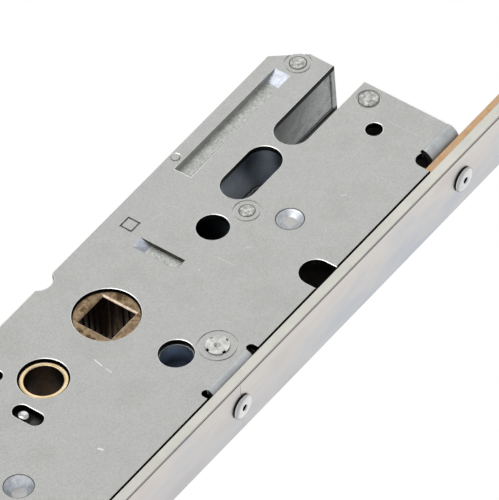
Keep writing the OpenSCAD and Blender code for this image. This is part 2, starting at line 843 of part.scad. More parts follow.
module hook_cover() {
    color([0.72, 0.73, 0.71]) {
        slab(-side, -inner) difference() {
            hook_outline();
            for (t = hook_tabs) rect([tab2_face - tab2_bend, case_front + over], t + [-0.8, 0.8]);
            translate([hook_x, 0]) circle(hook_pivot_r + seat);
            for (p = hook_posts) translate(p) circle(hook_post_r + seat);
        }
        for (t = hook_tabs)
            folded_tab(tab2_face - tab2_bend, tab2_bend, tab2_far, t, (t[0] + t[1]) / 2);
    }
}

module hook_base() {
    color([0.70, 0.71, 0.70]) {
        slab(inner, side) difference() {
            hook_outline();
            translate([hook_x, 0]) circle(hook_pivot_r + seat);
            for (p = hook_posts) translate(p) circle(hook_post_r + seat);
        }
        slab(-inner, inner) intersection() {
            difference() {
                hook_outline();
                hook_outline(plate_t);
            }
            rect([0, tab2_face - tab2_bend - over], hook_case_z + over * [-1, 1]);
        }
    }
}

// Hook bolt drawn as thrown, then turned up into its case
module hook() {
    reach = hook_set + hook_out;
    color([0.66, 0.67, 0.69]) slab(-hook_t / 2, hook_t / 2) translate([hook_x, 0]) rotate(90) difference() {
        union() {
            circle(9);
            polygon([
                [0, -2], [reach - 12, -2], [reach - 12, -10], [reach - 9, -13], [reach - 3, -13],
                [reach, -9], [reach, 5], [reach - 3, 8], [0, 8]
            ]);
            oblong([0, 0], throw / 2 * [1, -1], hook_slot_r + 2, 0.2);
        }
        circle(hook_pivot_r + run);
        oblong(throw / 2 * [cos(45), -sin(45)], throw / 2 * [1, -1], hook_slot_r, 0.02);
    }
}

module hook_pivot() {
    color([0.74, 0.75, 0.74]) pin_y([hook_x, 0], hook_pivot_r, -side - 0.3, side + 0.3);
}

module hook_case_posts() {
    color([0.74, 0.75, 0.74]) for (p = hook_posts) pin_y(p, hook_post_r, -side - 0.3, side + 0.3);
}

// Pair of ears on the drive rod that carry the hook's drive pin
module hook_ears() {
    color([0.45, 0.47, 0.50]) difference() {
        for (s = [-1, 1])
            slab(s > 0 ? ear_y[0] : -ear_y[1], s > 0 ? ear_y[1] : -ear_y[0])
                rect([hook_pin[0] - hook_pin_r - 1.2, rod_back], around(hook_pin[1], hook_pin_r + 1.2));
        pin_y(hook_pin, hook_pin_r + seat, -side, side);
    }
}

module hook_drive_pin() {
    color([0.70, 0.71, 0.72]) pin_y(hook_pin, hook_pin_r, -ear_y[1], ear_y[1]);
}

module roller() {
    c = 0.8;
    color([0.70, 0.72, 0.74]) translate([face_front + 0.4, 0, 0]) rotate([0, 90, 0]) rotate_extrude()
        polygon([
            [stud_r + run, 0], [roller_r - c, 0], [roller_r, c], [roller_r, roller_h - c],
            [roller_r - c, roller_h], [stud_r + run, roller_h]
        ]);
}

module roller_stud() {
    color([0.62, 0.63, 0.64]) {
        pin_x(0, 0, stud_r, rod_back, face_front + roller_h + 0.5);
        pin_x(0, 0, stud_r + 1.2, face_front + roller_h + 0.5, face_front + roller_h + 1.5);
    }
}

module at_hook(s) {
    translate([0, 0, s * hook_dist]) children();
}

module at_roller(s) {
    translate([0, 0, s * roller_dist]) children();
}

faceplate_upper();
faceplate_lower();
faceplate_rivets();
case_cover();
case_base();
upper_core();
socket_core();
latch_guide();
screw_bush();
case_rivets();
pivot_post();
bolt_post();
drive_bar();
upper_rod();
lower_rod();
rod_couplers();
coupler_rivets();
drive_carriage();
follower();
follower_pin();
latch_bolt();
latch_spring();
latch_lever();
latch_lever_pin();
deadbolt();
blocking_slide();
slide_pin();
at_hook(1) hook_cover();  // upper_hook_cover
at_hook(1) hook_base();  // upper_hook_base
at_hook(1) hook();  // upper_hook
at_hook(1) hook_pivot();  // upper_hook_pivot
at_hook(1) hook_case_posts();  // upper_hook_posts
at_hook(1) hook_ears();  // upper_hook_ears
at_hook(1) hook_drive_pin();  // upper_hook_pin
at_hook(-1) hook_cover();  // lower_hook_cover
at_hook(-1) hook_base();  // lower_hook_base
at_hook(-1) hook();  // lower_hook
at_hook(-1) hook_pivot();  // lower_hook_pivot
at_hook(-1) hook_case_posts();  // lower_hook_posts
at_hook(-1) hook_ears();  // lower_hook_ears
at_hook(-1) hook_drive_pin();  // lower_hook_pin
at_roller(1) roller();  // upper_roller
at_roller(1) roller_stud();  // upper_roller_stud
at_roller(-1) roller();  // lower_roller
at_roller(-1) roller_stud();  // lower_roller_stud
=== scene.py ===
# %% [markdown]
# # A multipoint door lock
# The lock is a steel faceplate with a flat case behind it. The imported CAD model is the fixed
# frame: every solid is where the real part is, in metres. The lesson gives each solid its finish,
# breaks the edges of the flat pieces, and models the round pieces again: the rivets, the bush,
# the pins, the spring and the rollers.

# %% Load the frame
import json
import math

import bpy
from mathutils import Matrix, Vector

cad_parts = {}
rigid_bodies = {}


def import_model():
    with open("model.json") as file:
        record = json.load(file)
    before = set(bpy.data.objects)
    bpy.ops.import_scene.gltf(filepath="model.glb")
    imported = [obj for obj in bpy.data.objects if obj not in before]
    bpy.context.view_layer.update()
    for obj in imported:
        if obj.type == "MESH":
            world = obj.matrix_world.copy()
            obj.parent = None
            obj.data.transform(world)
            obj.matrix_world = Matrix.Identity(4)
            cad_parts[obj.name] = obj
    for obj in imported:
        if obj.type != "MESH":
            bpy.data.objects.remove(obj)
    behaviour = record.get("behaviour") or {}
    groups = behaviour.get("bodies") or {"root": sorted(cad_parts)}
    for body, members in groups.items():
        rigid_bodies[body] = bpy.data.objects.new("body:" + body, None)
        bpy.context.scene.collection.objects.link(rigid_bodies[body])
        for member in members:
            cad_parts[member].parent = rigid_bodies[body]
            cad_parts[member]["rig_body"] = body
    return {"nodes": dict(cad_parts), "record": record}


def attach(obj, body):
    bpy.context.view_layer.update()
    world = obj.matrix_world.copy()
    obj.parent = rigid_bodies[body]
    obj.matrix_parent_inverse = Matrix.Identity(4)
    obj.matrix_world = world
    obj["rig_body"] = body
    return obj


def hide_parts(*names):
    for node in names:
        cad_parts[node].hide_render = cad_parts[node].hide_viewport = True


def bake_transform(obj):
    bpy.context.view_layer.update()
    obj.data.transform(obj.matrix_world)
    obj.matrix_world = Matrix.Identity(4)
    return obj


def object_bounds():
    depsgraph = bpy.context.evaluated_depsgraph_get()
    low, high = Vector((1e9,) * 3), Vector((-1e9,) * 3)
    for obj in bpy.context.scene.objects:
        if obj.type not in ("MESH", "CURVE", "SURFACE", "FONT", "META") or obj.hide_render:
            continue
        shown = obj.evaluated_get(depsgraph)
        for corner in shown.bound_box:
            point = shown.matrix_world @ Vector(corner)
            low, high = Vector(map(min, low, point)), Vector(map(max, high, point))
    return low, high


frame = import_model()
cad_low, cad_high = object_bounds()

print("CAD nodes:", len(frame["nodes"]), "box:", cad_low[:], cad_high[:])

# %% [markdown]
# The maker's drawing is in millimetres, so lengths are written that way and turned to metres by
# one function. Colours are written as the hex codes that a colour picker gives, and one function
# turns them to the linear values that shaders use.

# %% Units and colours
MM = 0.001


def mm(*lengths):
    return Vector([MM * length for length in lengths])


def linear(code):
    channels = [int(code[i:i + 2], 16) / 255 for i in (1, 3, 5)]
    return [c / 12.92 if c <= 0.04045 else ((c + 0.055) / 1.055) ** 2.4 for c in channels] + [1.0]


print("the sheet's grey is", round(linear("#BCBDBA")[0], 3), "in linear light")

# %% [markdown]
# The photograph looks at the cover plate from below and from the latch side, through a long lens.
# The camera is given by its place and by the directions that point right and down in the picture.

# %% Camera
CAMERA_PLACE = mm(1332.32, -2203.45, -1505.51)
PICTURE_RIGHT = Vector((0.797834, 0.057050, 0.600171))
PICTURE_DOWN = Vector((0.411553, 0.675929, -0.611347))
LENS_MM, SENSOR_MM = 899.8, 36

camera_data = bpy.data.cameras.new("long_lens")
camera = bpy.data.objects.new("long_lens", camera_data)
bpy.context.scene.collection.objects.link(camera)
camera_data.lens = LENS_MM
camera_data.sensor_width = SENSOR_MM
camera_data.sensor_fit = "HORIZONTAL"
looking = PICTURE_RIGHT.cross(PICTURE_DOWN).normalized()
turn = Matrix((PICTURE_RIGHT, -PICTURE_DOWN, -looking)).transposed()
camera.matrix_world = Matrix.Translation(CAMERA_PLACE) @ turn.to_4x4()
bpy.context.scene.camera = camera
print("looking along", [round(v, 3) for v in looking])

# %% [markdown]
# A material is a small tree of nodes. One function adds a node with its settings and its links,
# so that a tree reads as a list of what it is made of.

# %% Adding a node
def add_node(tree, kind, values=None, links=None, **settings):
    node = tree.nodes.new(kind)
    for name, setting in settings.items():
        setattr(node, name, setting)
    for socket, value in (values or {}).items():
        node.inputs[socket].default_value = value
    for socket, (source, output) in (links or {}).items():
        tree.links.new(source.outputs[output], node.inputs[socket])
    return node


# %% [markdown]
# Every material starts the same way: a shader, its output, and the place on the object, which
# keeps a pattern at its real size. A Mix node's colour sockets share their names with its number
# sockets, so they are reached by number. The last function makes a layer the final colour.

# %% Starting a material
COLOUR_A, COLOUR_B, COLOUR_OUT = 6, 7, 2


def start_material(name, roughness, metallic=1.0):
    material = bpy.data.materials.new(name)
    material.use_nodes = True
    tree = material.node_tree
    tree.nodes.clear()
    shader = add_node(tree, "ShaderNodeBsdfPrincipled",
                      {"Roughness": roughness, "Metallic": metallic})
    add_node(tree, "ShaderNodeOutputMaterial", links={"Surface": (shader, "BSDF")})
    add_node(tree, "ShaderNodeTexCoord")
    return material, tree, shader


def place_in(tree):
    return tree.nodes["Texture Coordinate"], "Object"


def set_colour(tree, layer):
    base = tree.nodes["Principled BSDF"].inputs["Base Color"]
    tree.links.new(layer.outputs[COLOUR_OUT], base)


# %% [markdown]
# The room: a white surround and three large soft lamps. The window lies on the cover's side and a
# little below, so that walls that face down the case are bright, and the ceiling is weaker. The
# third lamp stands behind the lock, where the faceplate's front mirrors it, so that the front is
# evenly bright. The camera sees the surround as plain white. Each lamp has its direction from the
# case, its distance and size in metres, and its power in watts.

# %% Surround and lamps
SURROUND_LIGHT, SURROUND_SEEN = 0.62, 1.0

world = bpy.data.worlds.new("white_room")
bpy.context.scene.world = world
world.use_nodes = True
room = world.node_tree
room.nodes.clear()
ray = add_node(room, "ShaderNodeLightPath")
level = add_node(room, "ShaderNodeMix", {"A": SURROUND_LIGHT, "B": SURROUND_SEEN},
                 {"Factor": (ray, "Is Camera Ray")})
surround = add_node(room, "ShaderNodeBackground", {"Color": (1, 1, 1, 1)},
                    {"Strength": (level, 0)})
add_node(room, "ShaderNodeOutputWorld", links={"Surface": (surround, "Background")})
bpy.context.scene.view_settings.view_transform = "Standard"

CASE_MIDDLE = mm(10, 0, 35)
LAMPS = {
    "window": ((-0.30, -0.89, -0.34), 1.9, 1.6, 13.0),
    "ceiling": ((-0.42, -0.62, 0.66), 2.0, 1.4, 4.0),
    "behind": ((0.38, 0.70, 0.56), 1.5, 1.1, 1.5),
}
for name, (direction, distance, size, watts) in LAMPS.items():
    data = bpy.data.lights.new(name, "AREA")
    data.shape = "DISK"
    data.size = size
    data.energy = watts
    lamp = bpy.data.objects.new(name, data)
    bpy.context.scene.collection.objects.link(lamp)
    towards = Vector(direction).normalized()
    lamp.location = CASE_MIDDLE + distance * towards
    lamp.rotation_mode = "QUATERNION"
    lamp.rotation_quaternion = towards.to_track_quat("Z", "Y")
    lamp.visible_camera = False
print(len(LAMPS), "lamps")

# %% [markdown]
# The lock stands on a sheet of white paper. The paper is there for its shadow; from below it is
# clear, so that the camera can look up past it.

# %% Floor
FLOOR_Z = cad_low.z - 0.5 * MM
FLOOR_SIZE = 8
PAPER_GLOW, PAPER_SHADE = 0.76, 0.24

bpy.ops.object.select_all(action="DESELECT")
bpy.ops.mesh.primitive_plane_add(size=FLOOR_SIZE, location=(0, 0, FLOOR_Z))
floor = bpy.context.active_object
floor.name = "floor"
paper, tree, shader = start_material("white_paper", 0.9, 0.0)
shader.inputs["Base Color"].default_value = linear("#F2F2F0")
ray = add_node(tree, "ShaderNodeLightPath")
face_side = add_node(tree, "ShaderNodeNewGeometry")
glow = add_node(tree, "ShaderNodeEmission", {"Strength": PAPER_GLOW})
sheet = add_node(tree, "ShaderNodeBsdfDiffuse", {"Color": (PAPER_SHADE,) * 3 + (1,)})
seen = add_node(tree, "ShaderNodeAddShader", links={0: (glow, 0), 1: (sheet, 0)})
direct = add_node(tree, "ShaderNodeMath", operation="MAXIMUM",
                  links={0: (ray, "Is Camera Ray"), 1: (ray, "Is Glossy Ray")})
direct = add_node(tree, "ShaderNodeMath", operation="MAXIMUM",
                  links={0: (direct, 0), 1: (ray, "Is Transmission Ray")})
lit = add_node(tree, "ShaderNodeMixShader",
               links={0: (direct, 0), 1: (shader, 0), 2: (seen, 0)})
clear = add_node(tree, "ShaderNodeBsdfTransparent")
one_sided = add_node(tree, "ShaderNodeMixShader",
                     links={0: (face_side, "Backfacing"), 1: (lit, 0), 2: (clear, 0)})
tree.links.new(one_sided.outputs[0], tree.nodes["Material Output"].inputs["Surface"])
floor.data.materials.append(paper)
print("floor at", round(FLOOR_Z / MM, 1), "mm")

# %% [markdown]
# Nearly every surface of the lock is a metal. They differ in three things: a colour that drifts in
# soft patches, a fine grain from how the surface was made, and how far that grain spreads a
# reflection. One function lays these down, and each finish gives its own colours, the real sizes
# of its patches and grain in millimetres, and its roughness. A stretch pulls the grain out into
# brush marks along an axis. The tint is how much the grain shades the colour, and the relief is
# its height. Real brush marks and the grain of plating are finer than a tenth of a millimetre and
# wouldn't show, so they are drawn about a third of a millimetre wide. Noise lies mostly between
# two values, and that span is what is spread over the colours.

# %% Worked metal
NOISE_LOW, NOISE_HIGH = 0.3, 0.7
PATCH_BORDERS = 0.36, 0.64
DULL_SPREAD = 0.06


def worked_metal(name, colours, patch_mm, grain_mm, roughness, relief_mm=0.01, tint=0.10,
                 stretch=(1, 1, 1), metallic=1.0, patch_stretch=(1, 1, 1)):
    material, tree, shader = start_material(name, roughness, metallic)
    clouded = add_node(tree, "ShaderNodeMapping", {"Scale": patch_stretch},
                       {"Vector": place_in(tree)})
    patch = add_node(tree, "ShaderNodeTexNoise",
                     {"Scale": 1 / (patch_mm * MM), "Detail": 3.0, "Roughness": 0.6},
                     {"Vector": (clouded, "Vector")})
    ramp = add_node(tree, "ShaderNodeValToRGB", links={"Fac": (patch, "Fac")})
    first, last = ramp.color_ramp.elements
    first.position, last.position = PATCH_BORDERS
    first.color, last.color = linear(colours[0]), linear(colours[-1])
    if len(colours) == 3:
        ramp.color_ramp.elements.new(0.5).color = linear(colours[1])
    drawn = add_node(tree, "ShaderNodeMapping", {"Scale": stretch}, {"Vector": place_in(tree)})
    grain = add_node(tree, "ShaderNodeTexNoise",
                     {"Scale": 1 / (grain_mm * MM), "Detail": 4.0, "Roughness": 0.65},
                     {"Vector": (drawn, "Vector")})
    shade = add_node(tree, "ShaderNodeMapRange",
                     {"From Min": NOISE_LOW, "From Max": NOISE_HIGH,
                      "To Min": 1 - tint, "To Max": 1 + tint}, {"Value": (grain, "Fac")})
    coat = add_node(tree, "ShaderNodeMix", {"Factor": 1.0},
                    {COLOUR_A: (ramp, "Color"), COLOUR_B: (shade, "Result")},
                    data_type="RGBA", blend_type="MULTIPLY", name="coat")
    dull = add_node(tree, "ShaderNodeMapRange",
                    {"From Min": NOISE_LOW, "From Max": NOISE_HIGH,
                     "To Min": roughness - DULL_SPREAD, "To Max": roughness + DULL_SPREAD},
                    {"Value": (grain, "Fac")})
    bump = add_node(tree, "ShaderNodeBump", {"Strength": 1.0, "Distance": relief_mm * MM},
                    {"Height": (grain, "Fac")})
    set_colour(tree, coat)
    tree.links.new(dull.outputs["Result"], shader.inputs["Roughness"])
    tree.links.new(bump.outputs["Normal"], shader.inputs["Normal"])
    print("finish:", name, "with a grain of", grain_mm, "mm")
    return material


# %% [markdown]
# The case is zinc-coated sheet. Hot zinc on rolled steel, aged, is matt and light grey with a
# slightly warm cast; its fine grey mottling is a third of a millimetre wide, and it hardly varies
# over the plate. Where a tab is bent, the zinc is painted bluer, a painted reflection, and its
# fine cracks scatter light, so that it is only half as metallic. A punch that slides over the
# sheet
# polishes it: the sloping ends of the recesses are smooth and bluish, and the walls of the dimples
# are painted brighter still, a painted highlight. The floor of a recess takes the coarse face of
# the press tool, so its grain is coarser and deeper than the plate's. A struck ring is painted
# pale, a painted highlight against the shade in its groove, and the stamped square is a thin grey
# line of painted shade. Sheared walls inside the holes are painted near black: they hold press
# oil, and their shade is painted. The rims over them carry a painted highlight.

# %% Sheet finishes
galvanised = worked_metal("galvanised_sheet", ["#BCBDBA", "#C1C2BF", "#BFBFBE"], 11, 0.36, 0.50,
                          relief_mm=0.014, tint=0.17)
bend_zinc_painted_reflection = worked_metal("stretched_zinc_painted_reflection", ["#C4C9CC", "#D2D6D8"], 3, 0.6, 0.46,
                         relief_mm=0.02, stretch=(1, 1, 0.3), metallic=0.45)
rim_highlight_paint = worked_metal("rim_painted_highlight", ["#F0F1F0", "#FAFAF9"], 2, 0.3, 0.34, tint=0.05)
punched_zinc = worked_metal("zinc_polished_by_the_punch", ["#A6ACB5", "#C0C5CD"], 1.2, 0.40, 0.38,
                            relief_mm=0.02, tint=0.14)
dimple_wall_painted_highlight = worked_metal("zinc_dimple_wall_painted_highlight", ["#BFC4CB", "#E0E3E7"], 1.2, 0.40, 0.40,
                          relief_mm=0.02, tint=0.14)
struck_ring_painted_highlight = worked_metal("struck_ring_painted_highlight", ["#C0C2BF", "#D2D4D1"], 1.5, 0.3, 0.45, tint=0.12)
stamped_square_painted_shade = worked_metal("stamped_square_painted_shade", ["#787A77", "#B0B2AE"], 0.8, 0.3, 0.45, tint=0.12)
pressed_floor = worked_metal("pressed_zinc_floor", ["#BABCB8", "#CCCECA"], 2, 0.50, 0.5,
                             relief_mm=0.03, tint=0.30)
oil_and_painted_shade = worked_metal("sheared_wall_oil_and_painted_shade", ["#121211", "#1C1B19"], 1.5, 0.4, 0.55, tint=0.2)

# %% [markdown]
# The faceplate is brushed along its length and then plated, so its grain is drawn out in long
# fine lines, pale with faint pink and blue. Rolled edges stay a shade creamier. The dark line
# finish marks the faceplate's joint, and elsewhere it is painted shade along hollow edges and
# gaps. The drive rods are zinc with a yellow passivation, which reads as tan, brushed lengthwise
# too.

# %% Faceplate and rod finishes
brushed_face = worked_metal("brushed_plated_steel", ["#D2CFCD", "#D8D6D3", "#CDCFD2"], 9, 0.30,
                            0.38, relief_mm=0.005, tint=0.07, stretch=(1, 1, 0.03),
                            patch_stretch=(1, 1, 0.3))
rolled_edge = worked_metal("rolled_plate_edge", ["#CBCAC2", "#D3D2CA"], 6, 0.4, 0.42, tint=0.06,
                           stretch=(1, 1, 0.12))
joint_line_and_painted_shade = worked_metal("dark_joint_and_painted_shade_line", ["#4C4A46", "#6A6864"], 3, 0.3, 0.5, tint=0.15,
                         stretch=(1, 1, 0.1))
passivated = worked_metal("yellow_passivated_steel", ["#AC8A68", "#BC9B78", "#B2967A"], 7, 0.40,
                          0.34, relief_mm=0.006, tint=0.16, stretch=(1, 1, 0.12))

# %% [markdown]
# Turned and headed steel. The faceplate's and couplers' rivets, the studs and the pin in the
# small slot are bright zinc plated, and the other pins and posts are plain. The case rivets are
# peened, so their heads are cloudy with dents, and the staked post stays smoother between its
# marks. Bolts, hooks and rollers are nickelled, and hidden levers and plates are plain. The
# blocking slide is seen through the small slot, and the shade there is painted into it: it is
# almost black, so that the bright pin in it stands out. The spring is drawn wire, whose die marks
# are too fine to see.

# %% Steel finishes
bright_zinc = worked_metal("bright_zinc_plate", ["#C9CBCC", "#D8D8D6"], 5, 0.60, 0.24,
                           relief_mm=0.003, tint=0.04)
peened = worked_metal("peened_rivet_head", ["#8F908D", "#D3D3CF"], 1.0, 0.60, 0.38,
                      relief_mm=0.07, tint=0.14)
staked = worked_metal("staked_post_head", ["#B4B5B1", "#DCDCD8"], 1.2, 0.50, 0.34, relief_mm=0.05)
plain_steel = worked_metal("plain_steel", ["#9FA1A3", "#AFB0B0"], 6, 0.4, 0.38, relief_mm=0.008)
slide_painted_shade = worked_metal("plate_steel_painted_shade", ["#3B3A38", "#4B4A47"], 4, 0.4, 0.40,
                          relief_mm=0.008, tint=0.12)
nickelled = worked_metal("nickelled_bolt_steel", ["#B9BABB", "#C6C6C5"], 7, 0.35, 0.28,
                         relief_mm=0.006, tint=0.08, stretch=(0.08, 1, 1))
spring_steel = worked_metal("drawn_spring_wire", ["#7C7F84", "#94969A"], 3, 0.25, 0.30,
                            relief_mm=0.004)

# %% [markdown]
# The blocks inside are raw die-cast zinc: blue-grey, grainy, and paler towards the open end of
# the case where it has been handled. The wall of the round socket is smoother, since a core pin
# formed it, and it is painted lighter, as painted light against the shade in the socket. The
# follower is sintered bronze, brushed across; its bore is painted dark brown as painted shade and
# scored lengthwise by the broach, and its mouth carries a painted highlight. The bush is turned
# brass with a bore painted as dark.

# %% Casting and bronze finishes
die_cast = worked_metal("die_cast_zinc", ["#5D6671", "#646D78", "#6C7680"], 6, 0.30, 0.48,
                        relief_mm=0.03, tint=0.30)
open_cast = worked_metal("handled_die_cast_zinc", ["#979B9E", "#B2B4B3", "#A5A8A9"], 5, 0.35,
                         0.50, relief_mm=0.04, tint=0.40)
socket_painted_light_and_shade = worked_metal("smooth_socket_wall_painted_light_and_shade", ["#929CAC", "#A4AEBD"], 4, 0.30, 0.36,
                           relief_mm=0.008, tint=0.08)
sintered = worked_metal("sintered_bronze", ["#57452F", "#9D876B", "#75624D"], 3, 0.28, 0.36,
                        relief_mm=0.03, tint=0.30, stretch=(0.2, 1, 1))
mouth_painted_highlight = worked_metal("bronze_mouth_painted_highlight", ["#B39F87", "#D8C6B4"], 1.0, 0.35, 0.36,
                          tint=0.25)
bore_painted_shade = worked_metal("broached_bore_painted_shade", ["#33261A", "#463625"], 1.2, 0.35, 0.42,
                         relief_mm=0.05, tint=0.45, stretch=(1, 0.04, 1))
turned_brass = worked_metal("turned_brass", ["#DCC294", "#EAD6B2"], 3, 0.22, 0.28,
                            relief_mm=0.006, tint=0.08)
bush_painted_shade = worked_metal("bush_bore_painted_shade", ["#2E2318", "#423223"], 1.5, 0.4, 0.45,
                         relief_mm=0.02, tint=0.25)

# %% [markdown]
# Shade deep in the case is painted into the castings, together with their oil: their colour falls
# off along one axis. Each end is a place in millimetres and the share of the colour that is left
# there; a share above one is painted light.

# %% Darker with depth
def paint_depth_shade(material, axis, near, far):
    tree = material.node_tree
    axes = add_node(tree, "ShaderNodeSeparateXYZ", links={0: place_in(tree)})
    depth = add_node(tree, "ShaderNodeMapRange",
                     {"From Min": near[0] * MM, "From Max": far[0] * MM,
                      "To Min": near[1], "To Max": far[1]},
                     {"Value": (axes, axis)}, interpolation_type="SMOOTHSTEP")
    layer = add_node(tree, "ShaderNodeMix", {"Factor": 1.0},
                     {COLOUR_A: (tree.nodes["coat"], COLOUR_OUT), COLOUR_B: (depth, "Result")},
                     data_type="RGBA", blend_type="MULTIPLY")
    set_colour(tree, layer)
    print(material.name, "falls off along", axis, "from", near[0], "to", far[0], "mm")


paint_depth_shade(die_cast, "Y", (-6.5, 1.15), (5, 0.42))
paint_depth_shade(socket_painted_light_and_shade, "Y", (-6.3, 2.8), (-0.5, 0.4))
paint_depth_shade(open_cast, "Z", (96, 0.98), (67, 0.30))

# %% [markdown]
# The record names a slot for every solid, and each slot stands for one finish. All solids get
# these first, and the pieces that are copied from them bring them along.

# %% First finishes
FINISH = {"galvanised": galvanised, "faceplate": brushed_face, "bright_steel": bright_zinc,
          "steel": plain_steel, "spring": spring_steel, "passivated": passivated,
          "zinc_core": die_cast, "bronze": sintered}
SLOTS = {row["node"]: row["material_slot"] for row in frame["record"]["subparts"]}
for node, slot in SLOTS.items():
    solid = frame["nodes"][node]
    solid.data.materials.clear()
    solid.data.materials.append(FINISH[slot])
print(len(FINISH), "finishes on", len(SLOTS), "solids")

# %% [markdown]
# Handling leaves fine scratches on the cover plate. Each one is a short pale line with its start
# and end on the plate, its width and its strength. It is drawn by the distance from the surface
# point to a segment, so it keeps its real place and its width of a tenth to a third of a
# millimetre. Its core has the full strength, and its border fades. The line is laid over the
# sheet's colour.

# %% Scratches on the cover plate
COVER_Y = -7.75
CORE, FADE = 0.4, 1.2
SCRATCHES = [((-9.7, 30.5), (-8.6, 34.5), 0.10, 0.35), ((11.0, 29.8), (15.8, 29.8), 0.12, 0.45),
             ((6.4, -13.1), (9.1, -13.7), 0.16, 1.0), ((10.5, -13.8), (12.3, -14.1), 0.14, 0.8),
             ((24.4, -35.1), (25.5, -34.8), 0.30, 0.9), ((24.0, 14.0), (25.9, 14.5), 0.12, 0.25),
             ((9.5, 23.9), (9.8, 23.9), 0.20, 0.5), ((18.1, 88.4), (27.2, 88.6), 0.14, 0.25),
             ((23.4, 62.3), (24.3, 63.4), 0.16, 0.5), ((-10.6, 36.2), (-6.4, 37.4), 0.10, 0.2),
             ((14.6, 36.1), (15.9, 37.0), 0.14, 0.35), ((26.0, 20.2), (26.3, 23.7), 0.10, 0.2)]


def add_scratches(material, plane_y):
    tree = material.node_tree
    layer = tree.nodes["coat"]
    for start, end, width, strength in SCRATCHES:
        a, b = mm(start[0], plane_y, start[1]), mm(end[0], plane_y, end[1])
        along = (b - a).normalized()
        reach = add_node(tree, "ShaderNodeVectorMath", {1: a}, {0: place_in(tree)},
                         operation="SUBTRACT")
        run = add_node(tree, "ShaderNodeVectorMath", {1: along}, {0: (reach, 0)},
                       operation="DOT_PRODUCT")
        run = add_node(tree, "ShaderNodeClamp", {"Min": 0.0, "Max": (b - a).length},
                       {"Value": (run, "Value")})
        foot = add_node(tree, "ShaderNodeVectorMath", {0: along}, {"Scale": (run, 0)},
                        operation="SCALE")
        gap = add_node(tree, "ShaderNodeVectorMath", links={0: (reach, 0), 1: (foot, 0)},
                       operation="DISTANCE")
        mark = add_node(tree, "ShaderNodeMapRange",
                        {"From Min": CORE * width * MM, "From Max": FADE * width * MM,
                         "To Min": strength, "To Max": 0.0}, {"Value": (gap, "Value")})
        layer = add_node(tree, "ShaderNodeMix", {COLOUR_B: linear("#F4F4F2")},
                         {"Factor": (mark, 0), COLOUR_A: (layer, COLOUR_OUT)},
                         data_type="RGBA")
    set_colour(tree, layer)


add_scratches(galvanised, COVER_Y)
print(len(SCRATCHES), "scratches")

# %% [markdown]
# A CAD solid is a mesh of loose triangles, and it is never changed itself. Its copy is merged and
# its flat faces are joined up, so that only real edges are left to work on.

# %% Copies of solids
MERGE_WITHIN = 0.002 * MM
FLAT_WITHIN = math.radians(0.6)


def deselect_all():
    if bpy.context.object and bpy.context.object.mode != "OBJECT":
        bpy.ops.object.mode_set(mode="OBJECT")
    bpy.ops.object.select_all(action="DESELECT")


def make_active(piece):
    deselect_all()
    piece.select_set(True)
    bpy.context.view_layer.objects.active = piece


def copy_of(node):
    solid = frame["nodes"][node]
    piece = bpy.data.objects.new(node + ".finished", solid.data.copy())
    bpy.context.scene.collection.objects.link(piece)
    make_active(piece)
    bpy.ops.object.mode_set(mode="EDIT")
    bpy.ops.mesh.select_all(action="SELECT")
    bpy.ops.mesh.remove_doubles(threshold=MERGE_WITHIN)
    bpy.ops.mesh.dissolve_limited(angle_limit=FLAT_WITHIN)
    bpy.ops.object.mode_set(mode="OBJECT")
    return piece


# %% [markdown]
# A sheared or machined edge is never knife sharp: it carries a burnished line that catches the
# light. Sharp edges are found by their angle, a test may choose among them by where their middle
# is in millimetres, and a narrow bevel is put on them, which may have a finish of its own.

# %% Broken edges
def break_edges(piece, width_mm, segments=2, sharper_than=32, rim=None, chosen=None):
    make_active(piece)
    bpy.ops.object.mode_set(mode="EDIT")
    bpy.ops.mesh.select_mode(type="EDGE")
    bpy.ops.mesh.select_all(action="DESELECT")
    bpy.ops.mesh.edges_select_sharp(sharpness=math.radians(sharper_than))
    bpy.ops.object.mode_set(mode="OBJECT")
    mesh = piece.data
    sharp = [edge.index for edge in mesh.edges if edge.select]
    if chosen:
        ends = {i: [mesh.vertices[v].co for v in mesh.edges[i].vertices] for i in sharp}
        sharp = [i for i in sharp if chosen((ends[i][0] + ends[i][1]) / (2 * MM))]
    bpy.ops.object.mode_set(mode="EDIT")
    bpy.ops.mesh.select_all(action="DESELECT")
    bpy.ops.object.mode_set(mode="OBJECT")
    for i in sharp:
        mesh.edges[i].select = True
    if rim:
        mesh.materials.append(rim)
    bpy.ops.object.mode_set(mode="EDIT")
    bpy.ops.mesh.bevel(offset=width_mm * MM, segments=segments, affect="EDGES",
                       clamp_overlap=not chosen, material=len(mesh.materials) - 1 if rim else -1)
    bpy.ops.object.mode_set(mode="OBJECT")
    return len(sharp)


# %% [markdown]
# Faces that a tool has left different are painted by a test of where they are and of the way they
# face. Normals are weighted by face area, which keeps the large faces flat beside a narrow bevel.
# The finished piece then takes the solid's place: it rides on the solid's body, and the solid is
# hidden.

# %% Painting and handing over
def repaint(piece, finish, chosen):
    piece.data.materials.append(finish)
    faces = [face for face in piece.data.polygons if chosen(face.center / MM, face.normal)]
    for face in faces:
        face.material_index = len(piece.data.materials) - 1
    return len(faces)


def stand_in(piece, node, smooth=50):
    make_active(piece)
    bpy.ops.object.shade_smooth_by_angle(angle=math.radians(smooth))
    weigh = piece.modifiers.new("even normals", "WEIGHTED_NORMAL")
    weigh.keep_sharp = True
    bpy.ops.object.modifier_apply(modifier=weigh.name)
    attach(piece, frame["nodes"][node]["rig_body"])
    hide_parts(node)
    print(piece.name, len(piece.data.polygons), "faces")


# %% [markdown]
# The cover is the plate that the photograph shows. Its places come first, in the drawing's
# millimetres: the case's outline, the post, and what is punched, struck or pressed into the
# sheet. A round place has its radius, and a recess its two ranges.

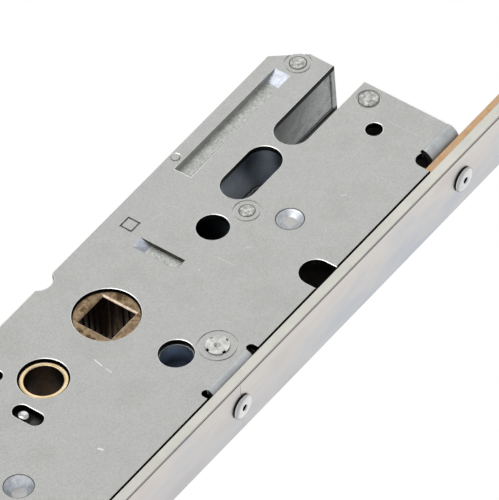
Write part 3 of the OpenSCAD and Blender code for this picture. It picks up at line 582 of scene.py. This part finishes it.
# %% Cover plate: places
CASE_BACK, CASE_FRONT = -19, 36.5
CASE_MIDDLE_Z, CASE_HALF_HEIGHT = -27, 123
CHAMFER_X, CHAMFER_Z = 8, 6.2
POST_X, POST_Z = 28.1, 6.9
DIMPLES = [(17.8, 49.4, 3.5), (16.0, -55.1, 3.7)]
STRUCK = [(POST_X, POST_Z, 5.2), (-11.5, 91.8, 3.7), (9.9, 91.8, 3.3), (7.6, 45.8, 3.75),
          (-13.1, 26.45, 3.0)]
SHALLOW = STRUCK + [(17.8, 49.4, 3.3), (-1.8, 22.8, 7.6)]
PAN, GROOVE = ((-16.6, -9.2), (46.0, 88.6)), ((-8.8, 5.4), (20.6, 25.0))
PRESSED = [PAN, GROOVE, ((13.6, 21.5), (45.6, 53.2)), ((11.8, 20.2), (-59.3, -50.9))]
print(len(STRUCK), "struck marks,", len(PRESSED), "pressed recesses")


def off_axis(p, x, z):
    return math.hypot(p.x - x, p.z - z)


def in_box(p, x_range, z_range):
    return x_range[0] < p.x < x_range[1] and z_range[0] < p.z < z_range[1]


# %% [markdown]
# Its rims are pressed, so the punch has rolled them over by a quarter of a millimetre, and the
# rolled rims carry a painted highlight, while the struck rings and the stamped square are shallow
# and stay crisp. The front edge is painted near black: press oil and painted shade in the gap.
# The near edges of the pan and the groove and the rims of the dimples are painted shade. Each test
# says which edges are broken, and an edge is on the plate when its middle lies within a few
# thousandths of a millimetre of it. The edges at the bent tabs stay as drawn, because a bevel
# there has no room.

# %% Cover plate: broken edges
LEVEL = 0.003


def on_cover(p):
    return abs(p.y - COVER_Y) < LEVEL


def at_tab(p):
    return p.x > 32.7 and -8.2 < p.z < 12.2 or p.x > 30.5 and not -138 < p.z < 80.5


def on_cover_rim(p):
    if at_tab(p) or not on_cover(p) or p.x > CASE_FRONT - 0.1:
        return False
    return all(off_axis(p, x, z) > r for x, z, r in SHALLOW)


def near_edge(p):
    in_pan = abs(p.x + 10.5) < 0.05 and 47 < p.z < 84
    along_groove = -5 < p.x < 4.95 and abs(p.z - 21) < 0.05
    end_of_groove = abs(p.x - 4.9) < 0.05 and 21 < p.z < 24.6
    return on_cover(p) and (in_pan or along_groove or end_of_groove)


def on_front_edge(p):
    return on_cover(p) and p.x > CASE_FRONT - 0.1


def round_dimple(p):
    return on_cover(p) and any(abs(off_axis(p, x, z) - r) < 0.2 for x, z, r in DIMPLES)


cover = copy_of("case_cover")
for what, width, steps, angle, rim, test in (
        ("near edges of pan and groove", 0.10, 1, 60, joint_line_and_painted_shade, near_edge),
        ("rim edges", 0.26, 2, 60, rim_highlight_paint, on_cover_rim),
        ("front edges", 0.20, 2, 60, oil_and_painted_shade, on_front_edge),
        ("dimple rims", 0.14, 2, 25, joint_line_and_painted_shade, round_dimple)):
    print(what, break_edges(cover, width, steps, angle, rim, test))

# %% [markdown]
# The faces are painted once the rims are beveled. A wall inside the outline is a cut wall,
# painted near black with press oil and painted shade, unless it belongs to a recess or to a struck
# mark. The case's corners are cut off at a slope, so the outline follows that slope there.

# %% Cover plate: cut walls
STRUCK_FROM, STRUCK_TO = -7.74, -7.2
CUT_FROM, CUT_TO = -7.7, -6.2


def struck(p, n):
    return STRUCK_FROM < p.y < STRUCK_TO and any(off_axis(p, x, z) < r for x, z, r in STRUCK)


def in_cut_wall(p, n):
    if not CUT_FROM <= p.y <= CUT_TO or abs(n.y) > 0.5:
        return False
    if any(in_box(p, x, z) for x, z in PRESSED) or struck(p, n):
        return False
    up = abs(p.z - CASE_MIDDLE_Z)
    slope = (p.x - CASE_BACK) * CHAMFER_Z / CHAMFER_X
    on_chamfer = up - (CASE_HALF_HEIGHT - CHAMFER_Z) > slope - 0.3
    return p.x > CASE_BACK + 0.3 and up < CASE_HALF_HEIGHT - 0.4 and not on_chamfer


print("dark walls:", repaint(cover, oil_and_painted_shade, in_cut_wall))

# %% [markdown]
# Next come the marks and the recesses. A struck mark is only about a quarter of a millimetre
# deep; a struck ring is painted paler as a painted highlight, and the stamped square is painted
# as shade. A recess is one to two and a half millimetres deep: its floor took the grain of the
# press tool, and its walls are smooth where the punch slid over the sheet. The dimple walls carry
# a painted highlight, and the faces under the groove's edge are painted shade.

# %% Cover plate: marks and recesses
PAST_FLOORS = -5.7


def stamped(p, n):
    return struck(p, n) and p.x < -12 and p.z < 40


def slanted(n):
    return abs(n.y) < 0.97


def punched(p, n):
    in_groove = in_box(p, (-8.5, -5.0), (20.9, 24.7)) and n.x > 0.1
    in_pan = in_box(p, (-15.3, -10.4), (83, 87.4)) and n.z < -0.2
    return slanted(n) and p.y < PAST_FLOORS and (in_groove or in_pan)


def drawn_wall(p, n):
    return p.y < -5 and slanted(n) and any(off_axis(p, x, z) < r - 0.1 for x, z, r in DIMPLES)


def pressed_bottom(p, n):
    return -7.6 < p.y < PAST_FLOORS and n.y < -0.9 and (in_box(p, *PAN) or in_box(p, *GROOVE))


def under_edge(p, n):
    return p.y < -6.5 and in_box(p, (-8.3, 5), (24, 24.7)) and n.z < -0.6


for what, finish, test in (
        ("struck lines", struck_ring_painted_highlight, struck),
        ("stamped square", stamped_square_painted_shade, stamped),
        ("pressed floors", pressed_floor, pressed_bottom),
        ("punched faces", punched_zinc, punched),
        ("dimple walls", dimple_wall_painted_highlight, drawn_wall),
        ("under the groove's edge", joint_line_and_painted_shade, under_edge)):
    print(what, repaint(cover, finish, test))

# %% [markdown]
# Last come the outsides of the tabs' bends, where the zinc is stretched and duller and painted
# bluer, a painted reflection. They are the faces near a tab that have begun to turn towards the
# faceplate.

# %% Cover plate: bends
def at_bend(p, n):
    in_tab = p.x > 30.9 and p.z > 85 or p.x > 34.4 and -5.8 < p.z < 9.8
    return n.x > 0.12 and p.y < -4 and in_tab


print("bends:", repaint(cover, bend_zinc_painted_reflection, at_bend))
stand_in(cover, "case_cover", smooth=17)

# %% [markdown]
# The far plate with the case's walls is the same sheet. The sheared walls of its screw slots are
# painted near black: press oil and painted shade. The end of the top wall beside the open slot has
# been handled like the casting next to it, so it takes the same finish. The mesh is first cut
# level with the inside of the far plate, so that the two finishes meet there, and the step at the
# casting is broken wider. The step's faces lie in shade, and they are painted in the lighter
# handled finish as painted light.

# %% Far plate
FAR_PLATE_INSIDE = 6.25
CUT_WALL_X, TOP_STEP_Z = -3.7, 94.5
SHEET_BREAK = 0.15


def in_screw_slots(p, n):
    return p.y > 6.5 and abs(n.y) < 0.98 and in_box(p, (-4, 5.8), (46, 95.5))


def off_cut_wall(p):
    return not (abs(p.x - CUT_WALL_X) < 0.3 and p.z > 66)


def on_cut_wall(p, n):
    beside = abs(p.x - CUT_WALL_X) < 0.1 and n.x > 0.9
    return beside and p.y < FAR_PLATE_INSIDE and p.z > 67


def at_top_step(p):
    return abs(p.x - CUT_WALL_X) < 0.02 and abs(p.y) < 6.3 and abs(p.z - TOP_STEP_Z) < 0.02


def top_step_painted_light(p, n):
    return in_box(p, (-4.2, -3.65), (94.4, 94.9)) and abs(p.y) < 6.3 and n.z < -0.2


case_base = copy_of("case_base")
bpy.ops.object.mode_set(mode="EDIT")
bpy.ops.mesh.select_all(action="SELECT")
bpy.ops.mesh.bisect(plane_co=mm(0, FAR_PLATE_INSIDE, 0), plane_no=(0, 1, 0))
bpy.ops.object.mode_set(mode="OBJECT")
print("top step:", break_edges(case_base, 0.30, sharper_than=60, chosen=at_top_step))
print("other edges:", break_edges(case_base, SHEET_BREAK, chosen=off_cut_wall))
print("slot walls:", repaint(case_base, oil_and_painted_shade, in_screw_slots))
print("cut wall:", repaint(case_base, open_cast, on_cut_wall))
print("step faces:", repaint(case_base, open_cast, top_step_painted_light))
stand_in(case_base, "case_base")

# %% [markdown]
# The two hook cases further along the faceplate have covers and trays of the same sheet, and
# their edges are broken as much.

# %% Hook cases
for node in ("upper_hook_cover", "upper_hook_base", "lower_hook_cover", "lower_hook_base"):
    hook_sheet = copy_of(node)
    break_edges(hook_sheet, SHEET_BREAK)
    stand_in(hook_sheet, node)

# %% [markdown]
# The faceplate is in two lengths that meet at the spindle. Its long front edges are bevelled in
# the drawing, and its other edges are only broken. At the joint the front edges have one flat
# dark break, so that the joint reads as one fine line. The rolled edges and the ends at the joint
# have the creamy finish, and the walls of the openings are painted near black: oil and painted
# shade.

# %% Faceplate
FACE_X = 40.0


def at_joint(p):
    return abs(p.z) < 1


def rolled_side(p, n):
    return abs(n.y) > 0.8 and abs(p.y) > 7.9


def joint_end(p, n):
    return abs(n.z) > 0.3 and abs(p.z) < 0.2


def opening_wall(p, n):
    return p.x < FACE_X - 0.2 and abs(n.x) < 0.5 and abs(p.y) < 7.5 and not at_joint(p)


for node in ("faceplate_upper", "faceplate_lower"):
    plate = copy_of(node)
    break_edges(plate, 0.10, sharper_than=60, chosen=lambda p: not at_joint(p))
    break_edges(plate, 0.12, segments=1, sharper_than=60, rim=joint_line_and_painted_shade,
                chosen=lambda p: at_joint(p) and p.x > FACE_X - 0.1)
    repaint(plate, rolled_edge, rolled_side)
    repaint(plate, rolled_edge, joint_end)
    repaint(plate, oil_and_painted_shade, opening_wall)
    stand_in(plate, node, smooth=32)

# %% [markdown]
# A thin dark line is painted along each bevel as painted shade. The bevel is flat in the drawing,
# so the line is coloured by place. It lies on the bevel where the distance out and the distance
# across add up to more than a limit, and in its middle where their difference is near one value.
# The brushed front is also painted from faintly warm on the cover's side to faintly cool and
# darker on the other, a painted reflection of light that comes from one side.

# %% Dark line along the bevel
BEVEL_SUM, BEVEL_MIDDLE, LINE_HALF_WIDTH = 47.5 * MM, 32.15 * MM, 0.16 * MM
WARM_Y, COOL_Y = -7.5 * MM, 7.8 * MM


def paint_bevel_shade_and_reflection(material):
    tree = material.node_tree
    axes = add_node(tree, "ShaderNodeSeparateXYZ", links={0: place_in(tree)})
    across = add_node(tree, "ShaderNodeMath", links={0: (axes, "Y")}, operation="ABSOLUTE")
    total = add_node(tree, "ShaderNodeMath", links={0: (axes, "X"), 1: (across, 0)},
                     operation="ADD")
    lean = add_node(tree, "ShaderNodeMath", links={0: (axes, "X"), 1: (across, 0)},
                    operation="SUBTRACT")
    on_bevel = add_node(tree, "ShaderNodeMath", {1: BEVEL_SUM}, {0: (total, 0)},
                        operation="GREATER_THAN")
    middle = add_node(tree, "ShaderNodeMath", {1: BEVEL_MIDDLE, 2: LINE_HALF_WIDTH},
                      {0: (lean, 0)}, operation="COMPARE")
    line = add_node(tree, "ShaderNodeMath", links={0: (on_bevel, 0), 1: (middle, 0)},
                    operation="MULTIPLY")
    tone = add_node(tree, "ShaderNodeMapRange", {"From Min": WARM_Y, "From Max": COOL_Y},
                    {"Value": (axes, "Y")})
    tint = add_node(tree, "ShaderNodeMix",
                    {COLOUR_A: linear("#FFFBF8"), COLOUR_B: linear("#ECEFF4")},
                    {"Factor": (tone, "Result")}, data_type="RGBA")
    painted_reflection = add_node(tree, "ShaderNodeMix", {"Factor": 1.0},
                      {COLOUR_A: (tree.nodes["coat"], COLOUR_OUT), COLOUR_B: (tint, COLOUR_OUT)},
                      data_type="RGBA", blend_type="MULTIPLY")
    layer = add_node(tree, "ShaderNodeMix", {COLOUR_B: linear("#817E78")},
                     {"Factor": (line, 0), COLOUR_A: (painted_reflection, COLOUR_OUT)}, data_type="RGBA")
    set_colour(tree, layer)


paint_bevel_shade_and_reflection(brushed_face)
print("edge line", round(math.sqrt(2) * LINE_HALF_WIDTH / MM, 2), "mm wide")

# %% [markdown]
# Rods, bolts, hooks and the small hidden plates are stamped or milled. Their edges are broken by
# hand or by tumbling, a little more on the thick bolts than on the thin plates, and the castings
# come round-edged from the mould. Each piece has its own width of broken edge in millimetres.

# %% Rods, bolts, levers and castings
WIDTHS = {
    "drive_bar": 0.18, "upper_rod": 0.18, "lower_rod": 0.18, "latch_bolt": 0.35, "deadbolt": 0.35,
    "upper_hook": 0.4, "lower_hook": 0.4, "rod_couplers": 0.15, "drive_carriage": 0.12,
    "latch_lever": 0.15, "blocking_slide": 0.12, "upper_hook_ears": 0.12, "lower_hook_ears": 0.12,
    "latch_guide": 0.2, "upper_core": 0.15, "socket_core": 0.25,
}
# The blocking slide's finish is painted shade, and the socket's finish has painted light and
# shade.
OTHER_FINISH = {"latch_bolt": nickelled, "deadbolt": nickelled, "upper_hook": nickelled,
                "lower_hook": nickelled, "socket_core": socket_painted_light_and_shade, "blocking_slide": slide_painted_shade}


def finish_with(piece, material):
    piece.data.materials.clear()
    piece.data.materials.append(material)
    return piece


def handled_wall(p, n):
    return p.z > 68.2 and abs(n.y) < 0.7


for node, width in WIDTHS.items():
    part = copy_of(node)
    if node in OTHER_FINISH:
        finish_with(part, OTHER_FINISH[node])
    break_edges(part, width)
    if node == "upper_core":
        print("handled walls:", repaint(part, open_cast, handled_wall))
    stand_in(part, node)

# %% [markdown]
# The follower is a sintered bronze hub with a square hole. Its face shows brush marks and ends in
# an edge painted dark as painted shade, the chamfered mouth carries a painted highlight, and the
# wall inside is painted black-brown as painted shade. On the side away from the door's edge the
# mouth keeps the colour of the face, without the painted highlight.

# %% Follower
HUB_EDGE_R, SQUARE_HALF, MOUTH_HALF = 8, 5.6, 5.8


def hub_edge(p):
    return p.y < -6.9 and off_axis(p, 0, 0) > HUB_EDGE_R


def in_square(p, n):
    return max(abs(p.x), abs(p.z)) < SQUARE_HALF and -6.4 < p.y < 8.2 and abs(n.y) < 0.3


def in_mouth(p):
    return max(abs(p.x), abs(p.z)) < MOUTH_HALF and -6.94 < p.y < -6.0


def mouth_without_highlight(p, n):
    return in_mouth(p) and p.x < -4.9 and n.x > 0.3


follower = copy_of("follower")
break_edges(follower, 0.2, rim=joint_line_and_painted_shade, chosen=hub_edge)
print("bore:", repaint(follower, bore_painted_shade, in_square))
print("mouth:", repaint(follower, mouth_painted_highlight, lambda p, n: in_mouth(p) and abs(n.y) >= 0.3))
print("worn mouth:", repaint(follower, sintered, mouth_without_highlight))
stand_in(follower, "follower", smooth=35)

# %% [markdown]
# Round pieces are turned: a ring is added, and its rim is drawn out step by step, each time to
# the next radius and height of the profile, as on a lathe. A solid piece starts from a disc, a
# tube from an open ring whose profile comes back to where it began. The piece is then laid along
# its axis.

# %% Turning
CLOSE_WITHIN = 0.0005 * MM
FACING = {"+X": (0, 90, 0), "-Y": (90, 0, 0)}


def turned(name, profile_mm, centre_mm, axis, sides=48, tube=False):
    deselect_all()
    radius, height = profile_mm[0]
    bpy.ops.mesh.primitive_circle_add(vertices=sides, radius=radius * MM,
                                      location=(0, 0, height * MM),
                                      fill_type="NOTHING" if tube else "NGON")
    piece = bpy.context.active_object
    bpy.ops.object.transform_apply(location=True, rotation=True, scale=True)
    bpy.ops.object.mode_set(mode="EDIT")
    bpy.ops.mesh.select_mode(type="EDGE" if tube else "FACE")
    bpy.ops.mesh.select_all(action="SELECT")
    draw_out = bpy.ops.mesh.extrude_edges_move if tube else bpy.ops.mesh.extrude_region_move
    for next_radius, next_height in profile_mm[1:]:
        draw_out(TRANSFORM_OT_translate={"value": (0, 0, (next_height - height) * MM)})
        scale = next_radius / radius
        bpy.ops.transform.resize(value=(scale, scale, 1), center_override=(0, 0, next_height * MM))
        radius, height = next_radius, next_height
    bpy.ops.mesh.select_all(action="SELECT")
    bpy.ops.mesh.remove_doubles(threshold=CLOSE_WITHIN)
    bpy.ops.mesh.normals_make_consistent(inside=False)
    bpy.ops.object.mode_set(mode="OBJECT")
    piece.rotation_euler = [math.radians(a) for a in FACING[axis]]
    piece.location = mm(*centre_mm)
    bpy.ops.object.transform_apply(location=True, rotation=True, scale=True)
    piece.name = name
    return piece


# %% [markdown]
# The faceplate's rivets have bright pan heads with a drilled mark in the middle. Under the rim the
# head curls in before it meets the plate: that hollow holds dirt, and the hollow and the mark are
# painted near black as painted shade, the dark crescent round the near side. The profile starts
# behind the tab, where the rivet is spread, and ends in the mark; its heights are measured from
# the faceplate's front. Pieces that the drawing names as one node are joined.

# %% Faceplate rivets
def joined(name, pieces):
    make_active(pieces[0])
    for piece in pieces:
        piece.select_set(True)
    if len(pieces) > 1:
        bpy.ops.object.join()
    whole = bpy.context.active_object
    whole.name = name
    return whole


RIVET_Z = [-576.5, -513.5, -146.6, 0.0, 88.8, 543.5, 606.5]
TAB_BACK, SPINDLE_TAB_BACK = 32.3 - FACE_X, 35.0 - FACE_X
rivets = []
for z in RIVET_Z:
    back = SPINDLE_TAB_BACK if z == 0 else TAB_BACK
    profile = [(3.2, back - 0.8), (3.4, back - 0.6), (3.4, back), (2.5, back), (2.5, 0.0),
               (3.0, 0.0), (3.36, 0.36), (3.4, 0.46), (3.3, 0.58), (2.95, 0.72), (2.4, 0.84),
               (1.8, 0.91), (1.15, 0.94), (0.88, 0.88), (0.8, 0.7), (0.72, -0.15), (0.02, -0.28)]
    rivets.append(turned("rivet", profile, (FACE_X, 0, z), "+X", sides=64))
rivets = finish_with(joined("faceplate_rivets.finished", rivets), bright_zinc)


def painted_shade_under_rim_and_in_mark(p, n):
    off = min(math.hypot(p.y, p.z - z) for z in RIVET_Z)
    under_rim = FACE_X <= p.x < FACE_X + 0.37 and off > 2.9
    return under_rim or p.x > FACE_X - 0.4 and off < 0.80


print("dark faces:", repaint(rivets, oil_and_painted_shade, painted_shade_under_rim_and_in_mark))
stand_in(rivets, "faceplate_rivets", smooth=40)

# %% [markdown]
# The case rivets are hammered almost flush. A peened head is a low button with a dented top, and a
# fine line of painted shade where its lip meets the sheet. Each rivet has its place, the radius of
# its shank and the radius of its head.

# %% Case rivets
CASE_PINS = [(-11.5, 91.8, 1.7, 2.25), (9.9, 91.8, 1.9, 2.7), (7.6, 45.8, 1.5, 2.1),
             (-12.7, -55.2, 1.7, 2.4), (-9.5, -76.4, 1.7, 2.4), (-12, -112, 1.9, 2.6),
             (-9, -145, 1.7, 2.4), (22, -146.2, 1.5, 2.1)]
case_rivets = []
for x, z, shank, head in CASE_PINS:
    profile = [(head - 0.3, -7.9), (head, -7.8), (head, -7.75), (shank, -7.75), (shank, 7.75),
               (head, 7.75), (head, 7.77), (head - 0.22, 7.80), (head - 0.42, 7.89),
               (0.62 * head, 7.86), (0.5 * head, 7.82), (0.36 * head, 7.88), (0.2 * head, 7.9),
               (0.01, 7.87)]
    case_rivets.append(turned("rivet", profile, (x, 0, z), "-Y", sides=40))
case_rivets = finish_with(joined("case_rivets.finished", case_rivets), peened)


def lip_painted_shade(p, n):
    off, head = min((off_axis(p, x, z), head) for x, z, shank, head in CASE_PINS)
    return p.y < -7.74 and off > head - 0.25


print("lip faces:", repaint(case_rivets, joint_line_and_painted_shade, lip_painted_shade))
stand_in(case_rivets, "case_rivets", smooth=60)

# %% [markdown]
# The large post beside the spindle is staked: four chisel marks spread its rim, and a centre punch
# has left a dimple. The solid has them, so it only needs its edges broken, its own finish and the
# marks painted dark as painted shade.

# %% Pivot post
def stake_mark(p, n):
    return -8.12 < p.y < -7.4 and 2.3 < off_axis(p, POST_X, POST_Z) < 2.97


pivot = finish_with(copy_of("pivot_post"), staked)
break_edges(pivot, 0.10)
print("stake marks:", repaint(pivot, oil_and_painted_shade, stake_mark))
stand_in(pivot, "pivot_post")

# %% [markdown]
# The bush below the spindle is turned brass: a bright end ring and a bore painted dark as painted
# shade. The outer chamfer is painted dark too, as painted shade, since it lies in the gap between
# the bush and the hole's wall.

# %% Bush
BUSH_Z = -24.7
RING = [(4.8, 6.8), (5.02, 7.05), (5.9, 7.05), (6.3, 6.75), (6.3, -6.75), (5.9, -7.05),
        (5.02, -7.05), (4.8, -6.8), (4.8, 6.8)]


def in_bush_shade(p, n):
    off = off_axis(p, 0, BUSH_Z)
    return abs(p.y) < 6.7 and off < 5 or off > 5.95


bush = turned("screw_bush.finished", RING, (0, 0, BUSH_Z), "-Y", sides=72, tube=True)
finish_with(bush, turned_brass)
print("bore faces:", repaint(bush, bush_painted_shade, in_bush_shade))
stand_in(bush, "screw_bush")

# %% [markdown]
# Plain pins are cropped from ground rod, so each end has a chamfer. Each one has its place, its
# radius, its two ends and its chamfer. The pin in the small slot is the one that shows, and its
# end is domed and bright.

# %% Pins and posts
PIN_END = 8.05
HOOK_Z = 560
HOOK_POSTS = ((7.5, -12.5), (20, -16.7), (9, 45.2))


def pin(radius, low, high, chamfer=0.3):
    return [(radius - chamfer, low), (radius, low + chamfer), (radius, high - chamfer),
            (radius - chamfer, high), (0.01, high)]


PINS = {
    "bolt_post": [((4, 0, -129), pin(2.2, -PIN_END, PIN_END))],
    "follower_pin": [((19.956, 0, 8.266), pin(1.7, -6.0, -1.0, 0.2))],
    "latch_lever_pin": [((5.75, 0, -66.305), pin(1.6, -5.7, 1.5, 0.2))],
    "upper_hook_pivot": [((16, 0, HOOK_Z), pin(3, -PIN_END, PIN_END))],
    "lower_hook_pivot": [((16, 0, -HOOK_Z), pin(3, -PIN_END, PIN_END))],
    "upper_hook_pin": [((24.266, 0, 568.266), pin(2.5, -5.9, 5.9, 0.25))],
    "lower_hook_pin": [((24.266, 0, -551.734), pin(2.5, -5.9, 5.9, 0.25))],
    "upper_hook_posts": [((x, 0, HOOK_Z + z), pin(1.5, -PIN_END, PIN_END, 0.25))
                         for x, z in HOOK_POSTS],
    "lower_hook_posts": [((x, 0, z - HOOK_Z), pin(1.5, -PIN_END, PIN_END, 0.25))
                         for x, z in HOOK_POSTS],
}
for node, pins in PINS.items():
    made = [turned("pin", profile, place, "-Y", sides=40) for place, profile in pins]
    stand_in(finish_with(joined(node + ".finished", made), plain_steel), node)
DOMED = [(1.4, 3.3), (1.6, 3.5), (1.6, 6.5), (1.5, 6.85), (1.2, 7.08), (0.8, 7.2), (0.4, 7.24),
         (0.01, 7.25)]
domed_pin = turned("slide_pin.finished", DOMED, (2.6, 0, -36), "-Y")
stand_in(finish_with(domed_pin, bright_zinc), "slide_pin")

# %% [markdown]
# The rods are riveted through their coupling plates. Each rivet has a low round head on the case
# side and is ground flush on the faceplate side.

# %% Coupler rivets
ROD_X = 34.1
COUPLER_Z, COUPLER_STEPS = (-212, 146), (-10.5, -4.5, 4.5, 10.5)
HEADED = [(2.2, -2.6), (2.65, -2.45), (2.8, -2.15), (2.8, -2.0), (2.0, -2.0), (2.0, 2.4),
          (1.9, 2.5), (0.01, 2.5)]
row = [turned("rivet", HEADED, (ROD_X, 0, middle + step), "+X", sides=32)
       for middle in COUPLER_Z for step in COUPLER_STEPS]
stand_in(finish_with(joined("coupler_rivets.finished", row), bright_zinc), "coupler_rivets")

# %% [markdown]
# The rollers run in the keeps of the frame. A roller is a hardened ring with rounded rims and a
# shallow groove, and its stud is a headed pin, riveted into the drive rod, with a centre mark.

# %% Rollers and studs
ROLLER_X, ROLLER_Z = 40.4, 370
ROLLER = [(3.06, 0.15), (3.25, 0), (5.2, 0), (5.75, 0.22), (6, 0.8), (6, 3.0), (5.85, 3.15),
          (5.85, 3.85), (6, 4.0), (6, 6.2), (5.75, 6.78), (5.2, 7), (3.25, 7), (3.06, 6.85),
          (3.06, 0.15)]
STUD = [(2.8, -6.3), (3, -6.1), (3, 7.1), (4.2, 7.1), (4.2, 7.7), (3.9, 8.0), (3.2, 8.1),
        (1.0, 8.1), (0.8, 7.8), (0.01, 7.7)]
for side, height in (("upper", ROLLER_Z), ("lower", -ROLLER_Z)):
    centre = (ROLLER_X, 0, height)
    ring = turned(side + "_roller.finished", ROLLER, centre, "+X", sides=64, tube=True)
    stand_in(finish_with(ring, nickelled), side + "_roller")
    stud = turned(side + "_roller_stud.finished", STUD, centre, "+X")
    stand_in(finish_with(stud, bright_zinc), side + "_roller_stud")

# %% [markdown]
# The latch is pushed out by a compression spring. A small ring is the section of the wire; the
# Screw modifier winds it seven times round the axis. One end stays with the case and the other
# goes with the latch.

# %% Latch spring
SPRING_Z, COIL_R, WIRE_R, TURNS = -56, 2.6, 0.4, 7
START_X, END_X = 4.45, 29.55
WIRE_SIDES, STEPS_A_TURN = 12, 24
deselect_all()
bpy.ops.mesh.primitive_circle_add(vertices=WIRE_SIDES, radius=WIRE_R * MM, fill_type="NOTHING",
                                  location=mm(COIL_R, 0, 0), rotation=(math.radians(90), 0, 0))
spring = bpy.context.active_object
bpy.ops.object.transform_apply(location=True, rotation=True, scale=True)
winding = spring.modifiers.new("winding", "SCREW")
winding.axis = "Z"
winding.angle = math.radians(360)
winding.iterations = TURNS
winding.screw_offset = (END_X - START_X) / TURNS * MM
winding.steps = winding.render_steps = STEPS_A_TURN
bpy.ops.object.modifier_apply(modifier=winding.name)
bpy.ops.object.mode_set(mode="EDIT")
bpy.ops.mesh.select_mode(type="EDGE")
bpy.ops.mesh.select_all(action="DESELECT")
bpy.ops.mesh.select_non_manifold(extend=False, use_wire=False, use_multi_face=False,
                                 use_non_contiguous=False, use_verts=False)
bpy.ops.mesh.fill_holes(sides=WIRE_SIDES)
bpy.ops.mesh.select_all(action="SELECT")
bpy.ops.mesh.remove_doubles(threshold=CLOSE_WITHIN)
bpy.ops.mesh.normals_make_consistent(inside=False)
bpy.ops.object.mode_set(mode="OBJECT")
spring.rotation_euler = (0, math.radians(90), 0)
spring.location = mm(START_X, 0, SPRING_Z)
bpy.ops.object.transform_apply(location=True, rotation=True, scale=True)
spring.name = "latch_spring.finished"
finish_with(spring, spring_steel)
bpy.ops.object.shade_smooth_by_angle(angle=math.radians(40))
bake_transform(spring)
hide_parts("latch_spring")
print("spring from", round(min(v.co.x for v in spring.data.vertices) / MM, 2), "to",
      round(max(v.co.x for v in spring.data.vertices) / MM, 2), "mm")
